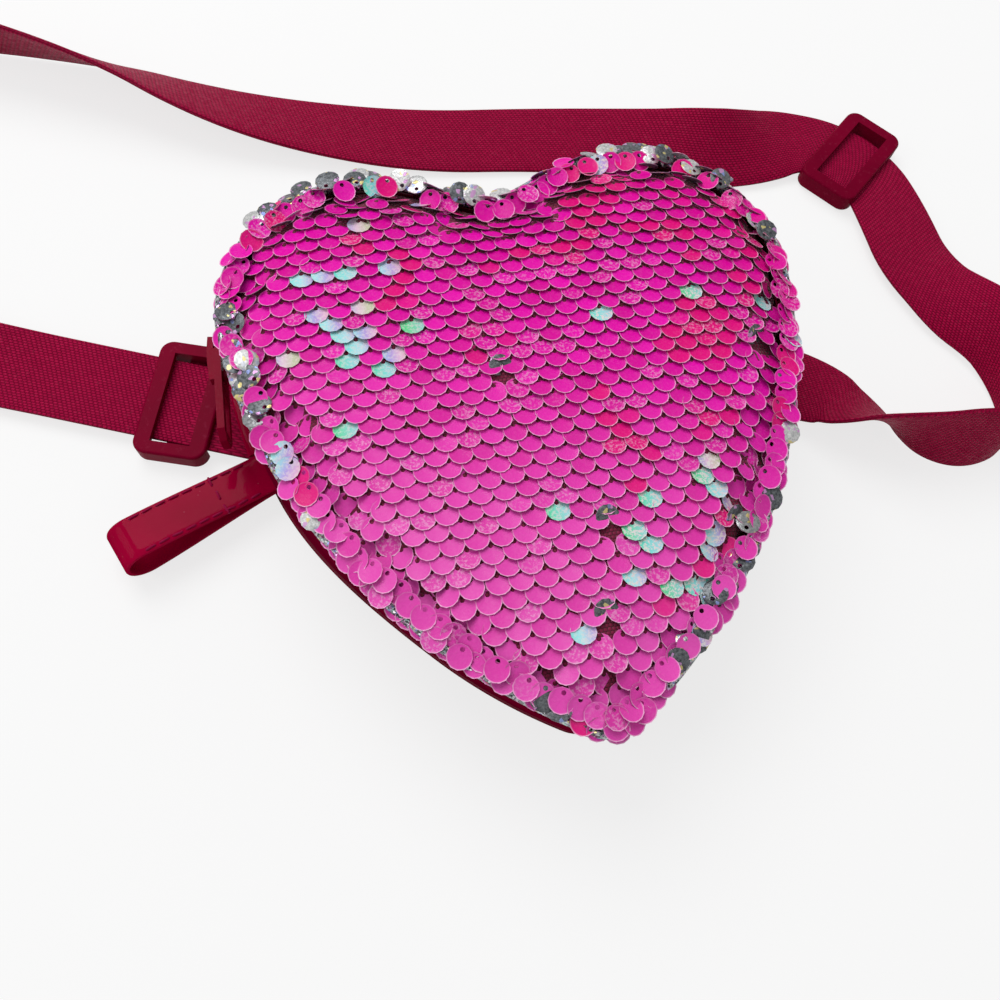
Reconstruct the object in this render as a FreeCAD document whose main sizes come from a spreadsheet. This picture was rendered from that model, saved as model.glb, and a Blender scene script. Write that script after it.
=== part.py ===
import FreeCAD, Part
import math
import os
import Sketcher
from FreeCAD import Placement, Rotation, Vector

# Heart shaped purse, lying on its back panel with the sequinned front up.
# Millimetres, +Z up, tip of the heart towards -Y, origin under the middle of the heart.

DRIVING = {
    # heart outline at the outer face of the gusset
    "lobe_radius": 30.5,
    "lobe_offset": 28.0,
    "heart_top": 60.5,
    "heart_tip": 60.5,
    "side_radius": 118.0,
    "tip_radius": 6.5,
    "cleft_radius": 4.0,
    "cleft_slope": 25.0,
    # sewn layers
    "gusset_width": 26.0,
    "vinyl": 1.2,
    "lining": 0.5,
    "fabric": 1.0,
    "back_foam": 1.9,
    "pipe_radius": 1.6,
    "ply_gap": 0.05,
    "dome_rise": 5.0,
    "sequin_depth": 1.2,
    "sequin_rim": 0.55,
    # zip round the lobe at -X
    "zip_inset": 1.0,
    "zip_to": 193.0,
    "zip_gap": 9.0,
    "tape_margin": 1.2,
    "tape_thick": 0.6,
    "tape_parting": 3.6,
    "bead_width": 1.3,
    "tooth_height": 1.6,
    "tooth_width": 0.85,
    "tooth_reach": 0.7,
    "tooth_count": 26,
    "zip_end": 8.0,
    "teeth_pitch": 3.85,
    "stop_length": 2.0,
    # zip slider and its pull
    "slider_length": 10.0,
    "slider_width": 9.6,
    "slider_plate": 1.2,
    "slider_gap": 0.4,
    "bridge_width": 2.0,
    "bridge_length": 2.4,
    "crown_length": 9.0,
    "crown_height": 3.8,
    "crown_bar": 1.3,
    "crown_width": 2.4,
    "pull_length": 20.0,
    "pull_width": 8.0,
    "pull_pin": 1.5,
    "pull_slack": 0.4,
    # shoulder strap, its slide adjusters and anchor tabs
    "strap_width": 20.0,
    "strap_thick": 1.2,
    "floor_gap": 0.3,
    "glide_length": 16.0,
    "glide_rail": 3.0,
    "glide_bar": 3.6,
    "glide_ply": 1.4,
    "glide_side_gap": 1.0,
    "glide_face_gap": 0.35,
    "glide_corner": 3.0,
    "glide_edge": 0.6,
    "tab_width": 20.0,
    "tab_height": 7.0,
    "tab_ledge": 3.6,
    # carrying loop sewn to the side
    "loop_length": 37.0,
    "loop_fold": 4.9,
    "loop_root": 1.0,
    "loop_seam": 7.0,
    "loop_band": 1.0,
    "loop_width": 9.4,
    "loop_lift": 5.3,
}

DOME_STEPS = 6
DOME_SPREAD = math.radians(78.0)

DOC = FreeCAD.newDocument("heart_purse")


class Size:
    """A length or angle that keeps its number beside the sheet expression that gives it."""

    def __init__(self, value, text):
        self.value = value
        self.text = text

    def joined(self, other, sign, result):
        return Size(result, f"({self.text} {sign} {text_of(other)})")

    def __add__(self, other):
        return self.joined(other, "+", self.value + value_of(other))

    def __sub__(self, other):
        return self.joined(other, "-", self.value - value_of(other))

    def __mul__(self, other):
        return self.joined(other, "*", self.value * value_of(other))

    def __truediv__(self, other):
        return self.joined(other, "/", self.value / value_of(other))

    def __neg__(self):
        return Size(-self.value, f"(0 - {self.text})")


def value_of(size):
    return size.value if isinstance(size, Size) else float(size)


def text_of(size):
    return size.text if isinstance(size, Size) else f"{float(size):.6f}"


def fill_sheet():
    sheet = DOC.addObject("Spreadsheet::Sheet", "sizes")
    for row, (name, number) in enumerate(DRIVING.items(), 1):
        sheet.set(f"A{row}", name)
        sheet.set(f"B{row}", str(number))
        sheet.setAlias(f"B{row}", name)
    DOC.recompute()
    return {name: Size(float(sheet.get(name)), f"sizes.{name}") for name in DRIVING}


S = fill_sheet()
ZERO = Size(0.0, "0")

# Levels and offsets that several pieces share
BACK_SEAM = S["pipe_radius"]
WALL_FROM = S["pipe_radius"] * 2
WALL_TO = WALL_FROM + S["gusset_width"]
FRONT_SEAM = WALL_TO + S["pipe_radius"]
ZIP_LEVEL = WALL_FROM + S["gusset_width"] / 2
PANEL_EDGE = -(S["pipe_radius"] + S["ply_gap"])
WALL_INNER = -S["vinyl"]
LINING_INNER = WALL_INNER - S["lining"]
PLATE_EDGE = LINING_INNER - S["ply_gap"]
DOME_BASE = WALL_TO
SEQUIN_INNER = PANEL_EDGE - S["sequin_rim"]
FABRIC_EDGE = SEQUIN_INNER - S["ply_gap"]
FOAM_EDGE = FABRIC_EDGE - S["fabric"] - S["ply_gap"]
FABRIC_RISE = S["dome_rise"] + S["fabric"]
SEQUIN_RISE = FABRIC_RISE + S["sequin_depth"]

# Radii about the lobe axis that the zip follows
TAPE_OUTER = S["lobe_radius"] - S["vinyl"]
TAPE_INNER = TAPE_OUTER - S["tape_thick"]
TEETH_OUTER = TAPE_OUTER + S["tooth_height"]
SLIDER_INNER = TEETH_OUTER + S["slider_gap"]
SLIDER_OUTER = SLIDER_INNER + S["slider_plate"]
SLIDER_BACK = TAPE_INNER - S["slider_gap"]
CROWN_OUTER = SLIDER_OUTER + S["crown_height"]
CROWN_HOLE = CROWN_OUTER - S["crown_bar"]
PULL_AXIS = (SLIDER_OUTER + CROWN_HOLE) / 2
ZIP_FROM = -S["cleft_slope"] + 90.0 + S["zip_inset"]
TEETH_FROM = ZIP_FROM + S["zip_end"]
DEGREES_PER_RADIAN = 180.0 / math.pi


def arc_angle(length, radius):
    return length / radius * DEGREES_PER_RADIAN


TOP_STOP_TO = S["zip_to"] - S["zip_inset"]
TOP_STOP_FROM = TOP_STOP_TO - arc_angle(S["stop_length"], TAPE_OUTER)
SLIDER_AT = (
    TOP_STOP_FROM - arc_angle(S["slider_gap"], TAPE_OUTER) - arc_angle(S["slider_length"] / 2, SLIDER_INNER)
)

# Slide adjuster
GLIDE_SLOT = S["strap_width"] + S["glide_side_gap"] * 2
GLIDE_WIDTH = GLIDE_SLOT + S["glide_rail"] * 2
GLIDE_TUNNEL = S["strap_thick"] + S["glide_face_gap"] * 2
GLIDE_HEIGHT = S["glide_ply"] * 2 + GLIDE_TUNNEL
STRAP_LIFT = S["floor_gap"] + S["glide_ply"] + GLIDE_TUNNEL / 2

# Pieces at the heart's sides
RIGHT_SIDE = S["lobe_offset"] + S["lobe_radius"]
LEFT_SIDE = -RIGHT_SIDE
LEFT_GLIDE_AT = (LEFT_SIDE - 14.0, 29.36)
LEFT_GLIDE_TURN = 161.5
LEFT_TAB_AT = (LEFT_SIDE, 23.6)
RIGHT_TAB_AT = (RIGHT_SIDE - 0.5, 17.6)
LOOP_AT = (LEFT_SIDE + 4.6, 9.1)
LOOP_TURN = 203.0

# Strap route from the heart's -X side round to its +X side: x, y, z and lean in degrees.
# A lean of 0 is flat, and 90 is standing on its edge.
LEFT_X = LEFT_SIDE.value
RIGHT_X = RIGHT_SIDE.value
FLAT_Z = STRAP_LIFT.value
RIGHT_BEND = (110.2, 80.2, FLAT_Z, 0)
STRAP_ROUTE = [
    (LEFT_X + 6.3, 21.1, FLAT_Z, 0),
    (LEFT_X - 48.0, 43.2, FLAT_Z, 0),
    (-142.0, 56.0, 6.0, -32),
    (-178.0, 63.0, 9.6, -72),
    (-222.0, 65.0, 10.1, -90),
    (-268.0, 71.0, 10.1, -90),
    (-300.0, 96.0, 10.1, -90),
    (-292.0, 133.0, 10.1, -90),
    (-258.0, 152.0, 10.1, -90),
    (-212.0, 155.0, 10.1, -90),
    (-166.0, 151.0, 10.1, -85),
    (-122.0, 141.0, 9.8, -70),
    (-84.0, 126.5, 7.8, -45),
    (-62.0, 114.0, 4.2, -20),
    (-39.0, 106.0, 2.0, -6),
    (-9.0, 98.5, 1.0, 0),
    (22.0, 94.5, 1.2, 0),
    (62.0, 89.5, FLAT_Z, 0),
    RIGHT_BEND,
    (110.5, 37.0, FLAT_Z, 0),
    (121.0, 11.0, 9.8, 70),
    (114.0, -7.0, 10.1, 90),
    (98.0, -9.0, 10.1, 85),
    (84.0, 1.5, 7.8, 48),
    (RIGHT_X + 13.5, 12.0, FLAT_Z, 0),
    (RIGHT_X - 6.5, 20.0, FLAT_Z, 0),
]
STRAP_FLOOR = 0.1
ARC_SHARE = 0.45
ARC_STEP = math.radians(10.0)
RIGHT_GLIDE_SHIFT = 1.1
BEND_PUCKER = 0.9


# Helpers for sketches and features

def new_body(label):
    body = DOC.addObject("PartDesign::Body", label)
    body.Label = label
    return body


def origin_feature(body, role):
    return next(item for item in body.Origin.OriginFeatures if item.Role == role)


def new_sketch(body, plane, lift=ZERO, turn=0.0):
    """Sketch on an origin plane, lifted off it and turned about the plane's second axis."""
    sketch = body.newObject("Sketcher::SketchObject", f"{body.Name}_sketch")
    sketch.AttachmentSupport = [(origin_feature(body, plane), "")]
    sketch.MapMode = "FlatFace"
    sketch.AttachmentOffset = Placement(Vector(0, 0, lift.value), Rotation(Vector(0, 1, 0), turn))
    if lift is not ZERO:
        sketch.setExpression("AttachmentOffset.Base.z", lift.text)
    return sketch


def dimension(sketch, constraint, size, unit=""):
    index = sketch.addConstraint(constraint)
    name = f"size_{index}"
    sketch.renameConstraint(index, name)
    sketch.setExpression(f"Constraints.{name}", size.text + unit)


def pin_point(sketch, geometry, place, x, y):
    """Ties a point of a sketch to the origin by its two coordinates."""
    kind = Sketcher.Constraint
    for axis, size, on_axis in (("DistanceX", x, -2), ("DistanceY", y, -1)):
        if size.value == 0:
            sketch.addConstraint(kind("PointOnObject", geometry, place, on_axis))
        elif size.value > 0:
            dimension(sketch, kind(axis, -1, 1, geometry, place, size.value), size)
        else:
            dimension(sketch, kind(axis, geometry, place, -1, 1, -size.value), -size)


def polygon(sketch, corners):
    """Closed outline through corners, each given by two sizes."""
    points = [Vector(x.value, y.value, 0) for x, y in corners]
    count = len(points)
    edges = [sketch.addGeometry(Part.LineSegment(points[i], points[(i + 1) % count])) for i in range(count)]
    for i, edge in enumerate(edges):
        sketch.addConstraint(Sketcher.Constraint("Coincident", edge, 2, edges[(i + 1) % count], 1))
    for edge, (x, y) in zip(edges, corners):
        pin_point(sketch, edge, 1, x, y)


def rectangle(sketch, x_from, x_to, y_from, y_to):
    polygon(sketch, [(x_from, y_from), (x_to, y_from), (x_to, y_to), (x_from, y_to)])


def circle(sketch, x, y, radius):
    ring = sketch.addGeometry(Part.Circle(Vector(x.value, y.value, 0), Vector(0, 0, 1), radius.value))
    pin_point(sketch, ring, 3, x, y)
    dimension(sketch, Sketcher.Constraint("Radius", ring, radius.value), radius)


def feature(body, kind, profile, **bound):
    """Sketch based feature whose named properties follow the given sizes."""
    item = body.newObject(f"PartDesign::{kind}", f"{body.Name}_{kind.lower()}")
    item.Profile = profile
    for name, size in bound.items():
        item.setExpression(name, size.text)
    return item


def pad(body, sketch, length, both_sides=False):
    item = feature(body, "Pad", sketch, Length=length)
    item.Midplane = both_sides
    return item


def pocket(body, sketch, depth, both_sides=False, reverse=False):
    item = feature(body, "Pocket", sketch, Length=depth)
    item.Midplane = both_sides
    item.Reversed = reverse
    return item


def mirror_halves(body, originals):
    item = body.newObject("PartDesign::Mirrored", f"{body.Name}_mirrored")
    item.Originals = originals
    item.MirrorPlane = (origin_feature(body, "YZ_Plane"), [""])
    body.Tip = item


def place(obj, x, y, z, turn=0.0):
    where = Vector(value_of(x), value_of(y), value_of(z))
    obj.Placement = Placement(where, Rotation(Vector(0, 0, 1), value_of(turn)))
    for name, size in (("Base.x", x), ("Base.y", y), ("Base.z", z), ("Rotation.Angle", turn)):
        if isinstance(size, Size):
            obj.setExpression(f"Placement.{name}", size.text)


def boolean(kind, label, base, tool):
    item = DOC.addObject(f"Part::{kind}", label)
    item.Label = label
    item.Base = base
    item.Tool = tool
    return item


# Heart outline

def arc(center, radius, start, end):
    return Part.ArcOfCircle(Part.Circle(center, Vector(0, 0, 1), radius), start, end)


def heading(vector):
    return math.atan2(vector.y, vector.x)


def half_heart(body, offset, lift=ZERO, scale=1.0):
    """Right half of the heart, pushed out by offset, with every arc tangent to the next."""
    lobe_r, side_r, tip_r = (
        (S[name] + offset) * scale for name in ("lobe_radius", "side_radius", "tip_radius")
    )
    cleft_r = (S["cleft_radius"] - offset) * scale
    lobe_x = S["lobe_offset"] * scale
    lobe_y = (S["heart_top"] - S["lobe_radius"]) * scale
    tip_y = (S["heart_tip"] - S["tip_radius"]) * scale
    slope = math.radians(S["cleft_slope"].value)

    lobe = Vector(lobe_x.value, lobe_y.value, 0)
    tip = Vector(0, -tip_y.value, 0)
    span = lobe - tip
    to_tip = side_r.value - tip_r.value
    to_lobe = side_r.value - lobe_r.value
    along = (to_tip ** 2 - to_lobe ** 2 + span.Length ** 2) / (2 * span.Length)
    across = math.sqrt(to_tip ** 2 - along ** 2)
    way = span / span.Length
    side = tip + way * along + Vector(-way.y, way.x, 0) * across
    up = Vector(-math.sin(slope), math.cos(slope), 0)
    cleft = Vector(0, lobe.y + (lobe_r.value + cleft_r.value + up.x * lobe.x) / up.y, 0)

    sketch = new_sketch(body, "XY_Plane", lift)
    add = sketch.addGeometry
    axis = add(Part.LineSegment(tip - Vector(0, tip_r.value, 0), cleft - Vector(0, cleft_r.value, 0)))
    cleft_arc = add(arc(cleft, cleft_r.value, -math.pi / 2, heading(-up)))
    shoulder = add(Part.LineSegment(cleft - up * cleft_r.value, lobe + up * lobe_r.value))
    lobe_arc = add(arc(lobe, lobe_r.value, heading(lobe - side), heading(up)))
    side_arc = add(arc(side, side_r.value, heading(tip - side), heading(lobe - side)))
    tip_arc = add(arc(tip, tip_r.value, -math.pi / 2, heading(tip - side)))

    kind = Sketcher.Constraint
    for constraint in (
        kind("PointOnObject", axis, 1, -2),
        kind("PointOnObject", axis, 2, -2),
        kind("Coincident", axis, 2, cleft_arc, 1),
        kind("PointOnObject", cleft_arc, 3, -2),
        kind("Tangent", cleft_arc, 2, shoulder, 1),
        kind("Tangent", shoulder, 2, lobe_arc, 2),
        kind("Tangent", lobe_arc, 1, side_arc, 2),
        kind("Tangent", side_arc, 1, tip_arc, 2),
        kind("Coincident", tip_arc, 1, axis, 1),
        kind("PointOnObject", tip_arc, 3, -2),
    ):
        sketch.addConstraint(constraint)
    for geometry, radius in ((lobe_arc, lobe_r), (side_arc, side_r), (tip_arc, tip_r), (cleft_arc, cleft_r)):
        dimension(sketch, kind("Radius", geometry, radius.value), radius)
    dimension(sketch, kind("DistanceX", -1, 1, lobe_arc, 3, lobe_x.value), lobe_x)
    dimension(sketch, kind("DistanceY", -1, 1, lobe_arc, 3, lobe_y.value), lobe_y)
    dimension(sketch, kind("DistanceY", tip_arc, 3, -1, 1, tip_y.value), tip_y)
    dimension(sketch, kind("Angle", shoulder, slope), S["cleft_slope"], " * 1 deg")
    return sketch


def heart_plate(label, offset, lift, thickness):
    body = new_body(label)
    half = pad(body, half_heart(body, offset, lift), thickness)
    mirror_halves(body, [half])
    return body


def heart_ring(label, inner, outer, lift, height):
    """Upright wall that follows the heart between two offsets."""
    return boolean(
        "Cut",
        label,
        heart_plate(f"{label}_outside", outer, lift, height),
        heart_plate(f"{label}_inside", inner, lift, height),
    )


def heart_dome(label, offset, lift, rise):
    """Padded heart: sections that shrink and climb to a flattened crown."""
    body = new_body(label)
    sections = []
    for step in range(DOME_STEPS):
        scale = math.cos(DOME_SPREAD * step / (DOME_STEPS - 1))
        climb = math.sqrt(1 - scale ** 4)
        sections.append(half_heart(body, offset, lift + rise * climb, scale))
    loft = body.newObject("PartDesign::AdditiveLoft", f"{label}_loft")
    loft.Profile = sections[0]
    loft.Sections = sections[1:]
    loft.Ruled = True
    mirror_halves(body, [loft])
    return body


def piping(label, level):
    """Round cord in the seam, swept from the tip up to the cleft and mirrored."""
    body = new_body(label)
    spine = half_heart(body, ZERO, level)
    profile = new_sketch(body, "YZ_Plane")
    circle(profile, -S["heart_tip"], level, S["pipe_radius"])
    sweep = body.newObject("PartDesign::AdditivePipe", f"{label}_pipe")
    sweep.Profile = profile
    sweep.Spine = (spine, ["Edge6", "Edge5", "Edge4", "Edge3", "Edge2"])
    mirror_halves(body, [sweep])
    return body


# Bag

def bag_layers():
    back_panel = heart_plate("back_panel", PANEL_EDGE, ZERO, S["vinyl"])
    foam_level = S["vinyl"] + S["ply_gap"]
    back_pad = heart_plate("back_pad", PANEL_EDGE, foam_level, S["back_foam"])
    lining_level = foam_level + S["back_foam"] + S["ply_gap"]
    back_lining = heart_plate("back_lining", PLATE_EDGE, lining_level, S["lining"])
    front_lining_level = WALL_TO - S["ply_gap"] - S["lining"]
    front_lining = heart_plate("front_lining", PLATE_EDGE, front_lining_level, S["lining"])
    front_pad = heart_dome("front_pad", FOAM_EDGE, DOME_BASE, S["dome_rise"])
    front_panel = boolean(
        "Cut",
        "front_panel",
        heart_dome("front_panel_outside", FABRIC_EDGE, DOME_BASE, FABRIC_RISE),
        heart_dome("front_panel_inside", FABRIC_EDGE - S["fabric"], DOME_BASE, S["dome_rise"] + S["ply_gap"]),
    )
    sequin_base = DOME_BASE + S["ply_gap"]
    sequin_layer = boolean(
        "Cut",
        "sequin_layer",
        heart_dome("sequin_layer_outside", PANEL_EDGE, sequin_base, SEQUIN_RISE),
        heart_dome("sequin_layer_inside", SEQUIN_INNER, sequin_base, FABRIC_RISE),
    )
    seams = [piping("back_piping", BACK_SEAM), piping("front_piping", FRONT_SEAM)]
    return [back_panel, back_pad, back_lining, front_lining, front_pad, front_panel, sequin_layer] + seams


def zip_wedge(label):
    """Sector round the lobe axis that the zip takes out of the gusset."""
    wedge = DOC.addObject("Part::Cylinder", label)
    wedge.setExpression("Radius", (S["lobe_radius"] * 1.5).text)
    wedge.setExpression("Height", (WALL_TO + S["pipe_radius"]).text)
    wedge.setExpression("Angle", (S["zip_to"] - ZIP_FROM).text)
    place(wedge, -S["lobe_offset"], S["heart_top"] - S["lobe_radius"], ZERO, ZIP_FROM)
    return wedge


def gussets():
    wall = heart_ring("gusset_wall", WALL_INNER, ZERO, WALL_FROM, S["gusset_width"])
    lining_from = WALL_FROM + S["ply_gap"]
    lining_height = S["gusset_width"] - S["ply_gap"] * 2
    lining = heart_ring("gusset_lining_wall", LINING_INNER, WALL_INNER, lining_from, lining_height)
    return [
        boolean("Cut", "bottom_gusset", wall, zip_wedge("gusset_wedge")),
        boolean("Cut", "gusset_lining", lining, zip_wedge("lining_wedge")),
    ]


# Zip

def about_lobe(body, turn):
    place(body, -S["lobe_offset"], S["heart_top"] - S["lobe_radius"], ZERO, turn)


def revolve(body, sketch, angle, both_sides=False):
    """Turns a sketch of the XZ plane about the lobe axis, towards larger angles."""
    item = feature(body, "Revolution", sketch, Angle=angle)
    item.ReferenceAxis = (sketch, ["V_Axis"])
    item.Midplane = both_sides
    return item


def lobe_sector(label, r_from, r_to, z_from, z_to, a_from, a_to):
    body = new_body(label)
    sketch = new_sketch(body, "XZ_Plane")
    rectangle(sketch, r_from, r_to, z_from, z_to)
    revolve(body, sketch, a_to - a_from)
    about_lobe(body, a_from)
    return body


def zip_side(name, sign):
    """One side of the zip: edge strip, tape, row of teeth and end stop."""

    def span(near, far):
        """Heights from the zip's middle line, low one first."""
        low, high = (near, far) if sign > 0 else (-far, -near)
        return ZIP_LEVEL + low, ZIP_LEVEL + high

    half_gap = S["zip_gap"] / 2
    tape_edge = S["tape_parting"] / 2
    bead_edge = tape_edge + S["bead_width"]
    strip = lobe_sector(
        f"zip_strip_{name}", TAPE_OUTER, S["lobe_radius"],
        *span(half_gap, S["gusset_width"] / 2), ZIP_FROM, S["zip_to"]
    )
    tape = lobe_sector(
        f"zip_tape_{name}", TAPE_INNER, TAPE_OUTER,
        *span(tape_edge, S["gusset_width"] / 2 - S["tape_margin"]), ZIP_FROM, S["zip_to"]
    )
    tooth_span = span(-S["tooth_reach"], bead_edge)
    teeth = teeth_row(f"zip_teeth_{name}", tooth_span, span(tape_edge, bead_edge), sign)
    stop = lobe_sector(
        f"zip_top_stop_{name}", TAPE_OUTER, TEETH_OUTER,
        *span(tape_edge, bead_edge), TOP_STOP_FROM, TOP_STOP_TO
    )
    return [strip, tape, teeth, stop]


def teeth_row(label, tooth_span, bead_span, sign):
    """Teeth on a sewn bead, set half a pitch away from the row that they mesh with."""
    body = new_body(label)
    bead_depth = S["tooth_height"] / 2
    bead = new_sketch(body, "XZ_Plane")
    rectangle(bead, TAPE_OUTER, TAPE_OUTER + bead_depth, *bead_span)
    revolve(body, bead, S["teeth_pitch"] * S["tooth_count"])
    half_width = S["tooth_width"] / 2
    neck = half_width * 0.8
    low, high = tooth_span
    tip, root = (low, high) if sign > 0 else (high, low)
    shoulder = tip + (root - tip) * 0.25
    first = 0.25 if sign > 0 else 0.75
    tooth = new_sketch(body, "YZ_Plane", TAPE_OUTER)
    polygon(tooth, [
        (-neck, tip), (neck, tip), (half_width, shoulder), (half_width, root), (-half_width, root),
        (-half_width, shoulder),
    ])
    single = pad(body, tooth, S["tooth_height"])
    row = body.newObject("PartDesign::PolarPattern", f"{label}_row")
    row.Originals = [single]
    row.Axis = (origin_feature(body, "Z_Axis"), [""])
    row.setExpression("Angle", (S["teeth_pitch"] * (S["tooth_count"] - 1)).text)
    row.setExpression("Occurrences", S["tooth_count"].text)
    body.Tip = row
    about_lobe(body, TEETH_FROM + S["teeth_pitch"] * first)
    return body


def bottom_stop():
    reach = S["tape_parting"] / 2 + S["bead_width"]
    stop_to = TEETH_FROM - arc_angle(S["slider_gap"], TAPE_OUTER)
    stop_from = stop_to - arc_angle(S["stop_length"], TAPE_OUTER)
    return lobe_sector(
        "zip_bottom_stop", TAPE_OUTER, TEETH_OUTER, ZIP_LEVEL - reach, ZIP_LEVEL + reach, stop_from, stop_to
    )


def zip_slider():
    """Two curved plates joined by a bridge, with a crown over the outer plate for the pull."""
    body = new_body("zip_slider")
    half = S["slider_width"] / 2
    length = arc_angle(S["slider_length"], SLIDER_INNER)
    outer = new_sketch(body, "XZ_Plane")
    rectangle(outer, SLIDER_INNER, SLIDER_OUTER, ZIP_LEVEL - half, ZIP_LEVEL + half)
    revolve(body, outer, length, both_sides=True)
    bridge = new_sketch(body, "XZ_Plane", turn=bridge_turn())
    rib = S["bridge_width"] / 2
    rectangle(bridge, SLIDER_BACK - S["slider_plate"], SLIDER_OUTER, ZIP_LEVEL - rib, ZIP_LEVEL + rib)
    revolve(body, bridge, arc_angle(S["bridge_length"], SLIDER_INNER), both_sides=True)
    inner = new_sketch(body, "XZ_Plane")
    rectangle(inner, SLIDER_BACK - S["slider_plate"], SLIDER_BACK, ZIP_LEVEL - half, ZIP_LEVEL + half)
    revolve(body, inner, length, both_sides=True)
    crown = new_sketch(body, "XZ_Plane")
    half_crown = S["crown_width"] / 2
    rectangle(crown, SLIDER_INNER, CROWN_OUTER, ZIP_LEVEL - half_crown, ZIP_LEVEL + half_crown)
    revolve(body, crown, arc_angle(S["crown_length"], SLIDER_INNER), both_sides=True)
    eye = new_sketch(body, "XZ_Plane")
    rectangle(eye, SLIDER_OUTER, CROWN_HOLE, ZIP_LEVEL - half, ZIP_LEVEL + half)
    eye_length = S["crown_length"] - S["crown_bar"] * 2
    groove = feature(body, "Groove", eye, Angle=arc_angle(eye_length, SLIDER_INNER))
    groove.ReferenceAxis = (eye, ["V_Axis"])
    groove.Midplane = True
    about_lobe(body, SLIDER_AT)
    return body


def bridge_turn():
    """Bridge at the leading end of the slider, clear of the closed teeth."""
    lead = arc_angle(S["slider_length"] / 2 - S["bridge_length"], SLIDER_INNER)
    return lead.value


def zip_pull():
    """Flat forked pull with a round pin through the slider's crown."""
    body = new_body("zip_pull")
    half = S["pull_width"] / 2
    half_slot = S["crown_width"] / 2 + S["pull_slack"]
    slot_end = S["crown_length"] / 2 + S["pull_slack"] * 3
    tail = S["pull_width"] / 4
    end = S["pull_length"]
    tab = new_sketch(body, "XZ_Plane")
    polygon(tab, [
        (ZERO, -half), (end - tail, -half), (end, -tail), (end, tail), (end - tail, half), (ZERO, half),
    ])
    pad(body, tab, S["pull_pin"], both_sides=True)
    slot = new_sketch(body, "XZ_Plane")
    rectangle(slot, -slot_end, slot_end, -half_slot, half_slot)
    pocket(body, slot, S["pull_pin"] * 2, both_sides=True)
    pin = new_sketch(body, "XY_Plane")
    circle(pin, ZERO, ZERO, S["pull_pin"] / 2)
    pad(body, pin, S["pull_width"], both_sides=True)
    grip = new_sketch(body, "XZ_Plane")
    grip_from = slot_end + S["pull_width"] * 0.5
    rectangle(grip, grip_from, end - tail, -half * 0.5, half * 0.5)
    pocket(body, grip, S["pull_pin"] * 2, both_sides=True)
    turn = SLIDER_AT + 90.0
    angle = math.radians(SLIDER_AT.value)
    x = -S["lobe_offset"] + PULL_AXIS * math.cos(angle)
    y = S["heart_top"] - S["lobe_radius"] + PULL_AXIS * math.sin(angle)
    place(body, x, y, ZIP_LEVEL, turn)
    print(f"slider at {SLIDER_AT.value:.3f} degrees, pull turns about {x.value:.3f}, {y.value:.3f}")
    return body


# Strap, its adjusters, anchor tabs and the side loop

def glide(label):
    """Slide adjuster: two end bars over the strap, a middle bar under it, rails at the sides."""
    body = new_body(label)
    half_x = S["glide_length"] / 2
    half_y = GLIDE_WIDTH / 2
    half_slot = GLIDE_SLOT / 2
    half_bar = S["glide_bar"] / 2
    frame = new_sketch(body, "XY_Plane")
    rectangle(frame, -half_x, half_x, -half_y, half_y)
    block = pad(body, frame, GLIDE_HEIGHT)
    DOC.recompute()
    upright = [f"Edge{i}" for i, edge in enumerate(block.Shape.Edges, 1) if edge.BoundBox.ZLength > 1e-6]
    rounded = body.newObject("PartDesign::Fillet", f"{label}_corners")
    rounded.Base = (block, upright)
    rounded.setExpression("Radius", S["glide_corner"].text)
    DOC.recompute()
    rims = [f"Edge{i}" for i, edge in enumerate(rounded.Shape.Edges, 1) if edge.BoundBox.ZLength < 1e-6]
    softened = body.newObject("PartDesign::Fillet", f"{label}_rims")
    softened.Base = (rounded, rims)
    softened.setExpression("Radius", S["glide_edge"].text)
    tunnel = new_sketch(body, "YZ_Plane")
    rectangle(tunnel, -half_slot, half_slot, S["glide_ply"], S["glide_ply"] + GLIDE_TUNNEL)
    pocket(body, tunnel, S["glide_length"] * 2, both_sides=True)
    window = new_sketch(body, "XY_Plane", GLIDE_HEIGHT - S["glide_ply"] * 1.5)
    reach = half_x - S["glide_bar"]
    rectangle(window, -reach, reach, -half_slot, half_slot)
    pocket(body, window, S["glide_ply"] * 3, reverse=True)
    for sign in (1, -1):
        under = new_sketch(body, "XY_Plane", S["glide_ply"] * 1.5)
        near, far = half_bar * sign, S["glide_length"] * sign
        low, high = (near, far) if sign > 0 else (far, near)
        rectangle(under, low, high, -half_slot, half_slot)
        pocket(body, under, S["glide_ply"] * 3)
    return body


def anchor_tabs():
    """Tabs that hold the strap's ends against the gusset, just over the back seam."""
    foot = STRAP_LIFT + S["strap_thick"] / 2 + S["ply_gap"]
    level = foot if foot.value > WALL_FROM.value else WALL_FROM
    flange = heart_ring("tab_flange", S["ply_gap"], S["ply_gap"] + S["fabric"], level, S["tab_height"])
    ledge = heart_ring("tab_ledge", S["ply_gap"], S["ply_gap"] + S["tab_ledge"], level, S["fabric"])
    both = boolean("Fuse", "tab_profile", flange, ledge)
    tabs = []
    for label, (x, y) in (("left_anchor_tab", LEFT_TAB_AT), ("right_anchor_tab", RIGHT_TAB_AT)):
        reach = DOC.addObject("Part::Box", f"{label}_reach")
        for name in ("Length", "Width", "Height"):
            reach.setExpression(name, S["tab_width"].text)
        half = S["tab_width"] / 2
        place(reach, x - half, -half + y, ZERO)
        tabs.append(boolean("Common", label, both, reach))
    return tabs


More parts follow.
